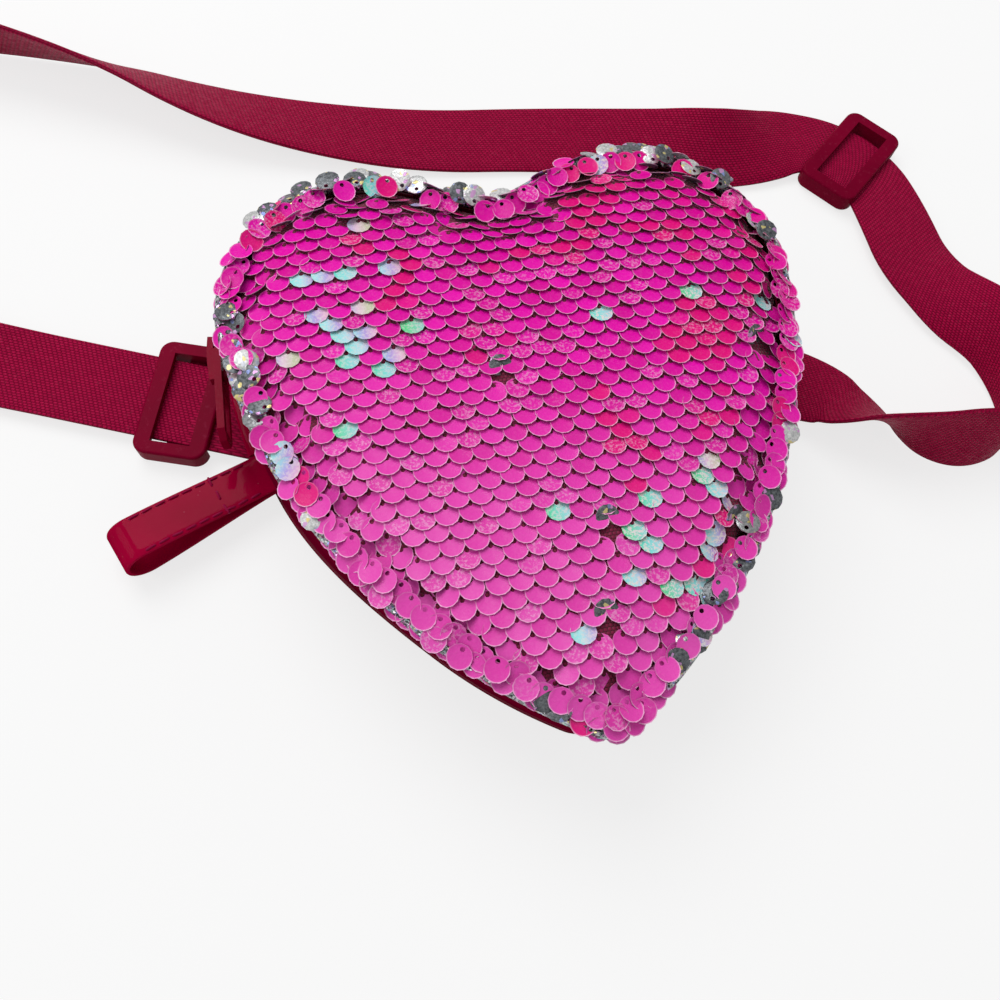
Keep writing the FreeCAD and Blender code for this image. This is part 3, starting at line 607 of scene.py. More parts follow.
def make_sequin_face():
    """Hot pink film with painted sheen: paler low on the front and redder towards the upper right; some
    sequins are a redder pink. A painted highlight runs along each lower cut edge. The reverse is silver with
    painted reflection and coloured flake sparks as painted glints.
    """
    material, tree, take = start_material("flip_sequin_film", Specular_IOR_Level=0.12, Coat_Roughness=0.12)
    reverse, luck, glint, hue = [own_value(tree, name) for name in ("side", "luck", "glint", "hue")]
    disc = own_value(tree, "disc", "Vector")
    disc_x, disc_y = split(tree, disc)[:2]
    place = object_place(tree)
    east, north = split(tree, place)[:2]

    # Pink of the film with painted sheen: paler low on the front, redder towards the upper right
    painted_low_sheen = calc(tree, "MULTIPLY_ADD", east, -0.35, times(tree, north, -1.0))
    painted_low_sheen = span(tree, painted_low_sheen, -0.02, 0.045, smooth=True)
    painted_low_sheen = times(tree, painted_low_sheen, span(tree, hue, 0.0, 1.0, 0.55, 1.0))
    pink = blend_colors(tree, hue, tint(224, 2, 156), tint(244, 10, 182))
    pink = blend_colors(tree, painted_low_sheen, pink, tint(240, 88, 190))
    # Painted sheen: redder towards the upper right, joined with the sequins whose own pink is redder
    painted_red_sheen = span(tree, calc(tree, "MULTIPLY_ADD", north, 0.75, east), 0.045, 0.09, smooth=True)
    painted_red_sheen = times(tree, painted_red_sheen, span(tree, hue, 0.2, 0.9, 0.2, 0.9))
    red_sheen_and_red_sequins = calc(tree, "MAXIMUM", painted_red_sheen, own_value(tree, "red"))
    pink = partly(tree, red_sheen_and_red_sequins, 0.8, pink, tint(236, 4, 116))

    # Painted highlight along the lower part of each cut edge, and scuffs on some
    rim = span(tree, vector_calc(tree, "LENGTH", disc), 0.86, 0.97, smooth=True)
    rim = times(tree, rim, span(tree, disc_y, 0.4, -0.5, 0.2, 0.8, True))
    # painted highlight colour on the lower cut edge
    pink = blend_colors(tree, rim, pink, tint(252, 200, 232))
    crinkle_place = vector_calc(tree, "ADD", place, scaled(tree, disc, 0.0001))
    crinkle = noise_of(tree, crinkle_place, 1700.0, 2.0, 0.65)
    scuff = span(tree, crinkle, 0.46, 0.66, smooth=True)
    scuffed = span(tree, calc(tree, "FRACT", times(tree, luck, 9.0)), 0.74, 0.88, 0.03, 0.42, True)
    pink = blend_colors(tree, times(tree, scuff, scuffed), pink, tint(246, 196, 228))

    # Glinting ones show the film's rainbow under chalky flecks
    shift = calc(tree, "MULTIPLY_ADD", disc_x, 0.16, span(tree, hue, 0.0, 1.0, 0.06, 0.94))
    flecks = span(tree, crinkle, 0.44, 0.6, smooth=True)
    chalky = span(tree, east, -0.005, 0.012, 0.5, 0.95)
    rainbow = color_ramp(tree, shift, FILM_SHADES)
    shine = blend_colors(tree, times(tree, flecks, chalky), rainbow, tint(234, 236, 230))
    glint = times(tree, glint, span(tree, disc_x, -0.9, 1.2, 1.0, 0.72))
    front = blend_colors(tree, glint, pink, shine)

    # Reverse: silver with painted reflection, lighter along the crinkles and on the bright sequins, and
    # coloured flake sparks as painted glints
    foil = use_group(tree, GLITTER, Coordinates=place, Flakes_per_metre=1300.0, Spread=0.3)
    crinkle_sheen = span(tree, crinkle, 0.22, 0.78)
    dull = blend_colors(tree, crinkle_sheen, tint(40, 44, 48), tint(138, 142, 146))
    silver = blend_colors(tree, crinkle_sheen, tint(160, 162, 164), tint(244, 244, 242))
    bright_silver_share = span(tree, calc(tree, "FRACT", times(tree, luck, 5.0)), 0.58, 0.66)
    grey = blend_colors(tree, bright_silver_share, dull, silver)
    # coloured flake sparks: painted glints
    grey = partly(tree, foil["Flash"], 0.9, grey, foil["Color"])
    feed(tree, take["Base Color"], blend_colors(tree, reverse, front, grey))
    feed(tree, take["Metallic"], span(tree, reverse, 0.0, 1.0, 0.0, 0.5))
    feed(tree, take["Roughness"], span(tree, luck, 0.0, 1.0, 0.3, 0.42))
    feed(tree, take["Coat Weight"], span(tree, luck, 0.0, 1.0, 0.0, 0.12))
    feed(tree, take["Normal"], bump(tree, crinkle, 0.00009))
    return material


def make_glitter_cord():
    material, tree, take = start_material("silver_glitter_cord", Specular_IOR_Level=0.6)
    place = object_place(tree)
    flakes = use_group(tree, GLITTER, Coordinates=place, Flakes_per_metre=2400.0, Spread=1.3)
    marks = use_group(tree, HANDLING, Coordinates=place)
    feed(tree, take["Base Color"], partly(tree, marks["Blotch"], 0.35, flakes["Color"], tint(92, 92, 98)))
    feed(tree, take["Metallic"], span(tree, marks["Rub"], 0.0, 1.0, 0.85, 0.4))
    feed(tree, take["Roughness"], span(tree, flakes["Flash"], 0.0, 1.0, 0.3, 0.12))
    feed(tree, take["Normal"], flakes["Normal"])
    return material


def make_mesh_cloth():
    material, tree, take = start_material("crimson_mesh_cloth", Specular_IOR_Level=0.3, Sheen_Weight=0.2)
    in_mm = scaled(tree, object_place(tree), 1.0 / MM)
    yarn = use_group(tree, WEAVE, Coordinates=in_mm, Along=0.8, Across=0.7, Step=0.5)
    # darker in the gaps between the yarns: painted shade
    color = blend_colors(tree, yarn["Gap"], tint(132, 10, 62), tint(64, 2, 26))
    feed(tree, take["Base Color"], partly(tree, yarn["Shade"], 0.3, color, tint(98, 4, 44)))
    feed(tree, take["Roughness"], span(tree, yarn["Shade"], 0.0, 1.0, 0.5, 0.7))
    feed(tree, take["Normal"], bump(tree, yarn["Height"], 0.0002))
    return material


def make_moulded(name, dark, light, rough_low, rough_high, specular):
    material, tree, take = start_material(name, Specular_IOR_Level=specular)
    marks = use_group(tree, HANDLING, Coordinates=object_place(tree))
    color = blend_colors(tree, marks["Blotch"], tint(*dark), tint(*light))
    feed(tree, take["Base Color"], partly(tree, marks["Rub"], 0.08, color, tint(206, 90, 126)))
    feed(tree, take["Roughness"], span(tree, marks["Blotch"], 0.0, 1.0, rough_low, rough_high))
    feed(tree, take["Normal"], bump(tree, marks["Grain"], 0.00004))
    return material


PATENT_WALL = make_patent_vinyl("patent_vinyl_wall", (96, 0, 30), (122, 0, 40))
PATENT_BACK = make_patent_vinyl("patent_vinyl_back", (104, 0, 34), (130, 2, 44), 0.0008)
PATENT_LOOP = make_patent_vinyl("patent_vinyl_loop", (146, 0, 44), (166, 0, 52), 0.0004, 0.08)
# make_webbing's dark and light colours, here and below, are painted shade and painted highlight of the yarn
# relief
WEBBING = make_webbing("crimson_webbing", (104, 0, 34), (184, 6, 70), 1.05, 0.62, 0.33, 0.00015)
SEQUIN_FILM = make_sequin_face()
GLITTER_CORD = make_glitter_cord()
MESH_CLOTH = make_mesh_cloth()
LINING = make_webbing("crimson_lining_cloth", (110, 6, 40), (150, 20, 66), 0.4, 0.35, 0.5, 0.00005)
ZIP_TAPE = make_webbing("zip_tape_weave", (96, 2, 34), (142, 14, 62), 0.7, 0.55, 0.5, 0.00012)
THREAD = make_webbing("crimson_thread", (150, 16, 66), (196, 60, 112), 0.5, 0.3, 0.33, 0.00005)
SATIN_PLASTIC = make_moulded("satin_crimson_plastic", (114, 0, 36), (130, 0, 42), 0.34, 0.46, 0.025)
ENAMEL = make_moulded("enamelled_slider", (122, 0, 34), (146, 0, 44), 0.14, 0.24, 0.04)
TEETH_PLASTIC = make_moulded("moulded_zip_teeth", (120, 0, 42), (150, 8, 58), 0.25, 0.4, 0.5)


# Shoulder webbing

def route_line(name, points):
    """Points read from a smooth spline whose control points are given, in millimetres."""
    curve = bpy.data.curves.new(name, "CURVE")
    curve.dimensions = "3D"
    curve.resolution_u = 12
    line = curve.splines.new("NURBS")
    line.points.add(len(points) - 1)
    for knot, point in zip(line.points, points):
        knot.co = (*point, 1.0)
    line.order_u = 3
    line.use_endpoint_u = True
    holder = bpy.data.objects.new(name, curve)
    SCENE.collection.objects.link(holder)
    bpy.context.view_layer.update()
    seen = holder.evaluated_get(bpy.context.evaluated_depsgraph_get())
    mesh = bpy.data.meshes.new_from_object(seen)
    result = [v.co.copy() for v in mesh.vertices]
    bpy.data.meshes.remove(mesh)
    bpy.data.objects.remove(holder)
    bpy.data.curves.remove(curve)
    return result


OUTLINE_POINTS = 600
OUTLINE = [heart_at(ROUND * i / OUTLINE_POINTS) for i in range(OUTLINE_POINTS)]
NEAR_OUTLINE = kdtree.KDTree(OUTLINE_POINTS)
for number, (spot, way) in enumerate(OUTLINE):
    NEAR_OUTLINE.insert((spot.x, spot.y, 0.0), number)
NEAR_OUTLINE.balance()


def wall_gap(point):
    """How far a point in millimetres lies outside the gusset's outer face."""
    spot, way = OUTLINE[NEAR_OUTLINE.find((point.x, point.y, 0.0))[1]]
    return (Vector((point.x, point.y)) - spot).dot(way)


TRIM_REACH, TRIM_HALVINGS = 14.0, 16


def trim_to_wall(piece, first, count, way, clear):
    """Slides one ring of points along way until each ends the same distance from the gusset."""
    for vertex in piece.data.vertices[first:first + count]:
        start = vertex.co / MM
        low, high = -TRIM_REACH, TRIM_REACH
        for halving in range(TRIM_HALVINGS):
            middle = (low + high) / 2
            if wall_gap(start + way * middle) < clear:
                low = middle
            else:
                high = middle
        vertex.co = (start + way * high) * MM
    piece.data.update()


def make_webbing_strap():
    """Ribbon along the route's spline; a second spline, for its edge, says how its width leans."""
    half = STRAP_WIDTH / 2
    middle_points = [Vector(row[:3]) for row in STRAP_ROUTE]
    edge_points = []
    for i, middle in enumerate(middle_points):
        lean, share = STRAP_ROUTE[i][3:]
        way = way_at(middle_points, i)
        across = UP.cross(way).normalized()
        tilt = math.radians(lean)
        width = across * math.cos(tilt) + way.cross(across) * math.sin(tilt)
        edge_points.append(middle + width * half * share)
    middles = route_line("webbing_middle", middle_points)
    edges = route_line("webbing_edge", edge_points)
    stations = []
    for i, middle in enumerate(middles):
        if wall_gap(middle) < STRAP_CLEAR:
            continue
        way = way_at(middles, i)
        across = edges[i] - middle
        share = max(STRAP_LEAST_SHARE, min(1.0, across.length / half))
        across = (across - way * across.dot(way)).normalized()
        up = way.cross(across)
        lowest = half * abs(across.z) + STRAP_THICK / 2 * abs(up.z) + STRAP_LIFT
        stations.append((Vector((middle.x, middle.y, max(middle.z, lowest))), across, up, share))
    profile = band(STRAP_WIDTH, STRAP_THICK, 11)
    strap = sweep("shoulder_webbing", stations, profile, WEBBING)
    last = len(stations) - 1
    for ring, inner in ((0, 1), (last, last - 1)):
        way = stations[inner][0] - stations[ring][0]
        way = Vector((way.x, way.y, 0.0)).normalized()
        trim_to_wall(strap, ring * len(profile), len(profile), way, STRAP_CLEAR)
    path = [station[0] * MM for station in stations]
    length = sum((b - a).length for a, b in zip(path, path[1:]))
    return strap, path, length


strap, strap_path, strap_length = make_webbing_strap()


# Front: padded mesh cloth under rows of flip sequins

CLOTH_SETTINGS = {
    "quality": 7, "mass": 0.25, "tension_stiffness": 30.0, "compression_stiffness": 30.0,
    "shear_stiffness": 12.0, "bending_stiffness": 3.0, "vertex_group_mass": "sewn", "use_pressure": True,
}
CLOTH_UP_SIZE = 10.0
CLOTH_SIDE_SLIP = 0.6 * MM


def let_settle(piece, sewn, pressure, slack, frames, outward, inward):
    """Runs a sheet as cloth held at its sewn points, ten times up in size, and keeps the shape.

    No point moves out by more than outward or in by more than inward, in millimetres."""
    mesh = piece.data
    rest = [v.co.copy() for v in mesh.vertices]
    normals = [v.normal.copy() for v in mesh.vertices]
    trial = bpy.data.objects.new("settling_sheet", mesh.copy())
    SCENE.collection.objects.link(trial)
    trial.data.transform(Matrix.Scale(CLOTH_UP_SIZE, 4))
    held = trial.vertex_groups.new(name="sewn")
    held.add(sewn, 1.0, "REPLACE")
    cloth = trial.modifiers.new("cloth", "CLOTH")
    for key, value in CLOTH_SETTINGS.items():
        setattr(cloth.settings, key, value)
    cloth.settings.uniform_pressure_force = pressure
    cloth.settings.shrink_min = -slack
    cloth.settings.effector_weights.gravity = 0.0
    cloth.collision_settings.use_collision = False
    cloth.point_cache.frame_start = 1
    cloth.point_cache.frame_end = frames
    for step in range(1, frames + 1):
        SCENE.frame_set(step)
    seen = trial.evaluated_get(bpy.context.evaluated_depsgraph_get())
    settled = [v.co / CLOTH_UP_SIZE for v in seen.data.vertices]
    SCENE.frame_set(1)
    bpy.data.objects.remove(trial)
    for vertex, before, after, normal in zip(mesh.vertices, rest, settled, normals):
        move = after - before
        along = move.dot(normal)
        side = move - normal * along
        along = max(-inward * MM, min(outward * MM, along))
        if side.length > CLOTH_SIDE_SLIP:
            side = side.normalized() * CLOTH_SIDE_SLIP
        vertex.co = before + normal * along + side
    mesh.update()


PAD_INSET, PAD_RISE = 1.7, 6.0
PAD_RINGS, PAD_LAST_RING = 22, math.radians(88.5)
PAD_CELL = 1.7
PAD_SEWN_BELOW = WALL_TO + 1.3
RIM_REACH = 14.0


def dome_point(run, scale):
    point, out = heart_at(run)
    point = (point - out * PAD_INSET) * scale
    return Vector((point.x, point.y, WALL_TO + PAD_RISE * math.sqrt(max(0.0, 1 - scale ** 4))))


def make_front_pad():
    """Padded dome of mesh cloth with its underside, closed round the rim."""
    runs = steps(0.0, ROUND, 2.2)[:-1]
    count = len(runs)
    scales = [math.cos(PAD_LAST_RING * i / PAD_RINGS) for i in range(PAD_RINGS + 1)]
    points = [dome_point(run, scale) for scale in scales for run in runs]
    faces = ring_faces(len(scales), count)
    crown = len(points)
    points.append(Vector((0, 0, WALL_TO + PAD_RISE)))
    last = PAD_RINGS * count
    faces += [[last + k, last + (k + 1) % count, crown] for k in range(count)]
    under = len(points)
    points.append(Vector((0, 0, WALL_TO + 0.05)))
    faces += [[(k + 1) % count, k, under] for k in range(count)]
    pad = finish_mesh("padded_mesh_front", points, faces, MESH_CLOTH)
    even = pad.modifiers.new("even_mesh", "REMESH")
    even.mode = "VOXEL"
    even.voxel_size = PAD_CELL * MM
    even.use_smooth_shade = True
    pad = baked(pad, pad.name)
    sewn = [v.index for v in pad.data.vertices if v.co.z < PAD_SEWN_BELOW * MM]
    let_settle(pad, sewn, pressure=4.0, slack=0.03, frames=20, outward=0.9, inward=0.4)
    return pad


def rim_share(piece):
    """Marks each point of the front with how near it is to the seam: 0 in the middle, 1 at the rim."""
    piece.data.attributes.new("rim", "FLOAT", "POINT")
    shares = [max(0.0, 1.0 + wall_gap(v.co / MM) / RIM_REACH) for v in piece.data.vertices]
    piece.data.attributes["rim"].data.foreach_set("value", shares)


def make_sequin_shape():
    """One cupped sequin, its thread hole at the origin and its free edge towards -Y."""
    radius, hole, drop, thick, sides = 2.4, 0.45, 1.38, 0.1, 12
    circles = ((hole, 0.0, 0.0), (radius * 0.84, drop, 0.02), (radius, drop, 0.16))
    rings = []
    for ring_radius, center_drop, lift in circles:
        rings.append([
            Vector((
                ring_radius * math.cos(2 * math.pi * (k + 0.5) / sides),
                -center_drop + ring_radius * math.sin(2 * math.pi * (k + 0.5) / sides),
                lift,
            ))
            for k in range(sides)
        ])
    points, faces, sides_of = [], [], []
    for level, side in ((thick / 2, 0.0), (-thick / 2, 1.0)):
        for ring in rings:
            for p in ring:
                points.append(p + Vector((0, 0, level)))
                sides_of.append(side)
    for k in range(sides):
        m = (k + 1) % sides
        for ring in (0, 1):
            a, b = ring * sides, (ring + 1) * sides
            faces.append([b + k, b + m, a + m, a + k])
            faces.append([a + 3 * sides + k, a + 3 * sides + m, b + 3 * sides + m, b + 3 * sides + k])
        faces.append([2 * sides + m, 2 * sides + k, 5 * sides + k, 5 * sides + m])
        faces.append([k, m, 3 * sides + m, 3 * sides + k])
    piece = finish_mesh("sequin_shape", points, faces, None, None, 60.0)
    for name, kind in (("disc", "FLOAT_VECTOR"), ("side", "FLOAT")):
        piece.data.attributes.new(name, kind, "POINT")
    discs = [(p.x / radius, (p.y + drop) / radius, 0.0) for p in points]
    piece.data.attributes["disc"].data.foreach_set("vector", [c for disc in discs for c in disc])
    piece.data.attributes["side"].data.foreach_set("value", sides_of)
    return piece


def geometry_tree(name, inputs):
    """Tree for a modifier, with its own named inputs after the geometry that it starts from."""
    flow = ("Geometry", "Geometry")
    tree, give, take = new_tree(name, "GeometryNodeTree", [(*flow, None), *inputs], [flow])
    tree.is_modifier = True
    return tree, give, take[0]


def run_tree(holder, tree, **values):
    """Puts a tree on a piece, sets its named inputs and returns the plain mesh that it makes."""
    modifier = holder.modifiers.new(tree.name, "NODES")
    modifier.node_group = tree
    idents = {item.name: item.identifier for item in tree.interface.items_tree if item.in_out == "INPUT"}
    for key, value in values.items():
        modifier[idents[key.replace("_", " ")]] = value
    return baked(holder, holder.name)


def tree_holder(name):
    """Stand-in piece for a tree that makes its own points."""
    return finish_mesh(name, [(0, 0, 0), (1, 0, 0), (0, 1, 0)], [(0, 1, 2)], None)


def chance(tree, seed, low, high, kind="FLOAT"):
    first, result = {"FLOAT": (2, 1), "FLOAT_VECTOR": (0, 0)}[kind]
    inputs = {first: low, first + 1: high, "Seed": seed}
    return wired(tree, "FunctionNodeRandomValue", inputs, data_type=kind)[result]


def draws(tree, seed):
    """Gives a tree its random values, each number with a stream of its own."""
    def draw(number, low=0.0, high=1.0, kind="FLOAT"):
        return chance(tree, calc(tree, "ADD", seed, float(number)), low, high, kind)
    return draw


def remember(tree, flow, name, value, kind="FLOAT"):
    inputs = {"Geometry": flow, "Name": name, "Value": value}
    return wired(tree, "GeometryNodeStoreNamedAttribute", inputs, data_type=kind, domain="POINT")[0]


def recall(tree, name, kind="FLOAT"):
    return wired(tree, "GeometryNodeInputNamedAttribute", {"Name": name}, data_type=kind)[0]


def even_curve(tree, give):
    """Sewing line as a curve with points at the even pitch."""
    line = wired(tree, "GeometryNodeMeshToCurve", {"Mesh": give["Geometry"]})[0]
    inputs = {"Curve": line, "Length": give["Pitch"]}
    return wired(tree, "GeometryNodeResampleCurve", inputs, mode="LENGTH")[0]


def lie_along(tree, normal, way, axis):
    """Rotation that faces Z along normal and turns another axis to way."""
    inputs = {"Primary Axis": normal, "Secondary Axis": way}
    return wired(tree, "FunctionNodeAxesToRotation", inputs, primary_axis="Z", secondary_axis=axis)[0]


def turned_by(tree, rotation, angles):
    """Rotation that is then turned about its own axes."""
    lean = wired(tree, "FunctionNodeEulerToRotation", {0: angles})[0]
    return wired(tree, "FunctionNodeRotateRotation", {0: rotation, 1: lean}, rotation_space="LOCAL")[0]


def shape_of(tree, thing):
    return wired(tree, "GeometryNodeObjectInfo", {"Object": thing}, transform_space="RELATIVE")["Geometry"]


def set_out(tree, take, points, thing, rotation, finish):
    """Sets a copy of a shape on each point, makes the copies real and gives them their material."""
    inputs = {"Points": points, "Instance": shape_of(tree, thing), "Rotation": rotation}
    copies = wired(tree, "GeometryNodeInstanceOnPoints", inputs)[0]
    real = wired(tree, "GeometryNodeRealizeInstances", {0: copies})[0]
    feed(tree, take, wired(tree, "GeometryNodeSetMaterial", {"Geometry": real, "Material": finish})[0])


DROP_FROM, DROP_REACH = 0.06, 0.1


def make_sequin_tree():
    """Staggered rows dropped on the front; each sequin hangs from its hole over the row below."""
    tree, give, take = geometry_tree("sequin_rows", [
        ("Front", "Object", None), ("Sequin", "Object", None), ("Film", "Material", None),
        ("Column pitch", "Float", 0.0044), ("Row pitch", "Float", 0.00282), ("Tilt", "Float", -0.17),
        ("Roll", "Float", 0.07), ("Raggedness", "Float", 1.0), ("Columns", "Int", 30), ("Rows", "Int", 48),
        ("Seed", "Int", 11), ("Glint spot one", "Vector", None), ("Glint spot two", "Vector", None),
        ("Glint reach", "Float", 0.02),
    ])
    draw = draws(tree, give["Seed"])

    # Staggered grid above the front, dropped on it; what misses it goes
    index = put(tree, "GeometryNodeInputIndex").outputs[0]
    row = calc(tree, "FLOOR", calc(tree, "DIVIDE", index, give["Columns"]))
    column = calc(tree, "MODULO", index, give["Columns"])
    stagger = times(tree, calc(tree, "MODULO", row, 2.0), 0.5)
    column = calc(tree, "SUBTRACT", column, times(tree, give["Columns"], 0.5))
    x = times(tree, calc(tree, "ADD", column, stagger), give["Column pitch"])
    y = calc(tree, "SUBTRACT", row, times(tree, give["Rows"], 0.5))
    where = join(tree, x, times(tree, y, give["Row pitch"]), DROP_FROM)
    wander = chance(tree, give["Seed"], (-0.00022, -0.0002, 0.0), (0.00022, 0.0002, 0.0), "FLOAT_VECTOR")
    flow = wired(tree, "GeometryNodePoints", {
        "Count": times(tree, give["Columns"], give["Rows"]),
        "Position": vector_calc(tree, "ADD", where, wander),
    })[0]
    ray = wired(tree, "GeometryNodeRaycast", {
        "Target Geometry": shape_of(tree, give["Front"]), "Attribute": recall(tree, "rim"),
        "Ray Direction": (0.0, 0.0, -1.0), "Ray Length": DROP_REACH,
    }, data_type="FLOAT")
    flow = remember(tree, flow, "facing", ray["Hit Normal"], "FLOAT_VECTOR")
    flow = remember(tree, flow, "near_rim", ray["Attribute"])
    flow = remember(tree, flow, "caught", ray["Is Hit"], "BOOLEAN")
    flow = wired(tree, "GeometryNodeSetPosition", {"Geometry": flow, "Position": ray["Hit Position"]})[0]
    lost = wired(tree, "FunctionNodeBooleanMath", {0: recall(tree, "caught", "BOOLEAN")}, operation="NOT")[0]
    inputs = {"Geometry": flow, "Selection": lost}
    flow = wired(tree, "GeometryNodeDeleteGeometry", inputs, domain="POINT")[0]

    # What each sequin looks like
    place = put(tree, "GeometryNodeInputPosition").outputs[0]
    near = recall(tree, "near_rim")
    luck = draw(1)
    flow = remember(tree, flow, "luck", luck)
    flow = remember(tree, flow, "hue", draw(2))
    corner = vector_calc(tree, "DOT_PRODUCT", place, (1.0, 0.75, 0.0))
    corner = span(tree, corner, -0.03, 0.05, -0.12, 0.09)
    patch = calc(tree, "MULTIPLY_ADD", luck, 0.16, noise_of(tree, place, 62.0, 1.0, 0.5))
    red = span(tree, calc(tree, "ADD", patch, corner), 0.66, 0.72, smooth=True)
    flow = remember(tree, flow, "red", red)
    spots = []
    for label in ("Glint spot one", "Glint spot two"):
        away = vector_calc(tree, "DISTANCE", place, give[label])
        spots.append(span(tree, calc(tree, "DIVIDE", away, give["Glint reach"]), 0.3, 1.0, 0.42, 0.0, True))
    odds = calc(tree, "ADD", calc(tree, "MAXIMUM", *spots), 0.01)
    flow = remember(tree, flow, "glint", calc(tree, "LESS_THAN", draw(3), odds))
    flip_odds = span(tree, near, 0.72, 0.95, 0.006, 0.3)
    flow = remember(tree, flow, "flip", calc(tree, "LESS_THAN", draw(4), flip_odds))

    # How it hangs
    facing = recall(tree, "facing", "FLOAT_VECTOR")
    face = wired(tree, "FunctionNodeAlignRotationToVector", {"Vector": facing}, axis="Z")[0]
    loose = times(tree, span(tree, near, 0.55, 0.95, 0.05, 0.3, True), give["Raggedness"])
    sway = scaled(tree, draw(5, (-1.0, -1.0, -1.0), (1.0, 1.0, 1.0), "FLOAT_VECTOR"), loose)
    tilt = calc(tree, "MULTIPLY_ADD", recall(tree, "flip"), -(math.pi - 0.45), give["Tilt"])
    lean = vector_calc(tree, "ADD", join(tree, tilt, give["Roll"]), sway)
    set_out(tree, take, flow, give["Sequin"], turned_by(tree, face, lean), give["Film"])
    return tree


def sewing_lines(name, lines):
    """Loose polylines in millimetres, with the direction that each place of them faces."""
    points, edges, facings = [], [], []
    for line in lines:
        first = len(points)
        points += [Vector(p) * MM for p, out in line]
        facings += [c for p, out in line for c in out]
        edges += [(first + i, first + i + 1) for i in range(len(line) - 1)]
    mesh = bpy.data.meshes.new(name)
    mesh.from_pydata(points, edges, [])
    mesh.attributes.new("facing", "FLOAT_VECTOR", "POINT")
    mesh.attributes["facing"].data.foreach_set("vector", facings)
    piece = bpy.data.objects.new(name, mesh)
    SCENE.collection.objects.link(piece)
    return piece


def make_rim_tree():
    """Loose sequins along the seam: most hang out over the cord, some are flipped and show their reverse."""
    tree, give, take = geometry_tree("rim_sequins", [
        ("Sequin", "Object", None), ("Film", "Material", None), ("Pitch", "Float", 0.0029),
        ("Flipped", "Float", 0.3), ("Lean", "Float", 0.2), ("Far lean", "Float", 0.5),
        ("Far hang", "Float", 0.0), ("Tousled spot", "Vector", None), ("Tousled reach", "Float", 0.018),
        ("Seed", "Int", 31),
    ])
    draw = draws(tree, give["Seed"])
    flow = wired(tree, "GeometryNodeCurveToPoints", {"Curve": even_curve(tree, give)}, mode="EVALUATED")[0]
    out = recall(tree, "facing", "FLOAT_VECTOR")
    east, north = split(tree, out)[:2]
    far_side = span(tree, north, 0.2, 0.75, smooth=True)

    # What each sequin looks like
    place = put(tree, "GeometryNodeInputPosition").outputs[0]
    away = vector_calc(tree, "DISTANCE", place, give["Tousled spot"])
    tousled = span(tree, calc(tree, "DIVIDE", away, give["Tousled reach"]), 0.7, 1.0, 0.45, 0.0, True)
    odds = calc(tree, "ADD", give["Flipped"], tousled)
    odds = calc(tree, "MULTIPLY_ADD", far_side, span(tree, give["Far hang"], 0.0, 1.0, 0.2, 0.0), odds)
    brushed_back = span(tree, calc(tree, "ADD", east, north), 0.8, 1.15, smooth=True)
    odds = calc(tree, "MULTIPLY_ADD", brushed_back, 0.3, odds)
    flow = remember(tree, flow, "flip", calc(tree, "LESS_THAN", draw(1), odds))
    flow = remember(tree, flow, "luck", draw(2))
    flow = remember(tree, flow, "hue", draw(3))
    red_odds = span(tree, north, -0.6, 0.4, 0.02, 0.2)
    flow = remember(tree, flow, "red", calc(tree, "LESS_THAN", draw(10), red_odds))
    glint_odds = span(tree, east, -0.3, 0.3, 0.06, 0.015)
    flow = remember(tree, flow, "glint", calc(tree, "LESS_THAN", draw(4), glint_odds))
    flip = recall(tree, "flip")

    # How it hangs
    shift = scaled(tree, out, calc(tree, "MULTIPLY_ADD", far_side, 0.0008, draw(5, -0.0008, 0.0003)))
    offset = vector_calc(tree, "ADD", shift, join(tree, z=draw(6, 0.0, 0.0008)))
    flow = wired(tree, "GeometryNodeSetPosition", {"Geometry": flow, "Offset": offset})[0]
    lean = calc(tree, "ADD", draw(7, 0.0, 0.35), give["Lean"])
    lean = calc(tree, "MULTIPLY_ADD", far_side, give["Far lean"], lean)
    lean = calc(tree, "MULTIPLY_ADD", flip, times(tree, lean, -0.6), lean)
    normal = scaled(tree, out, calc(tree, "SINE", lean))
    normal = vector_calc(tree, "ADD", normal, join(tree, z=calc(tree, "COSINE", lean)))
    outward = calc(tree, "MULTIPLY_ADD", times(tree, far_side, give["Far hang"]), -0.85, 0.75)
    down = join(tree, y=span(tree, flip, 0.0, 1.0, -0.55, 0.85))
    hang = vector_calc(tree, "ADD", scaled(tree, out, outward), down)
    hang = vector_calc(tree, "ADD", hang, draw(8, (-0.3, -0.3, 0.0), (0.3, 0.3, 0.0), "FLOAT_VECTOR"))
    lie = lie_along(tree, normal, scaled(tree, hang, -1.0), "Y")
    roll = draw(9, (-0.2, -0.3, 0.0), (0.2, 0.3, 0.0), "FLOAT_VECTOR")
    roll = vector_calc(tree, "ADD", join(tree, y=times(tree, flip, math.pi)), roll)
    set_out(tree, take, flow, give["Sequin"], turned_by(tree, lie, roll), give["Film"])
    return tree


front = make_front_pad()
rim_share(front)
sequin_shape = make_sequin_shape()
sequins = run_tree(
    tree_holder("sequin_scales"), make_sequin_tree(), Front=front, Sequin=sequin_shape, Film=SEQUIN_FILM,
    Glint_spot_one=(-0.033, 0.025, 0.033), Glint_spot_two=(0.022, -0.03, 0.033),
)
rim_tree = make_rim_tree()
rim_rows = []
for name, offset, height, pitch, flipped, lean, far_lean, far_hang, seed in (
    ("rim_sequins_low", -1.1, 32.4, 2.9, 0.12, 0.26, 0.5, 0.0, 31),
    ("rim_sequins_high", -2.7, 33.3, 3.1, 0.06, 0.12, -0.5, 1.0, 67),
):
    around = [(wall_point(run, offset, height), facing_at(run)) for run in steps(0.0, ROUND, 1.0)]
    rim_rows.append(run_tree(
        sewing_lines(name, [around]), rim_tree, Sequin=sequin_shape, Film=SEQUIN_FILM, Pitch=pitch * MM,
        Flipped=flipped, Lean=lean, Far_lean=far_lean, Far_hang=far_hang,
        Tousled_spot=(-0.0575, 0.02, 0.033), Seed=seed,
    ))
bpy.data.objects.remove(sequin_shape)


# Stitches

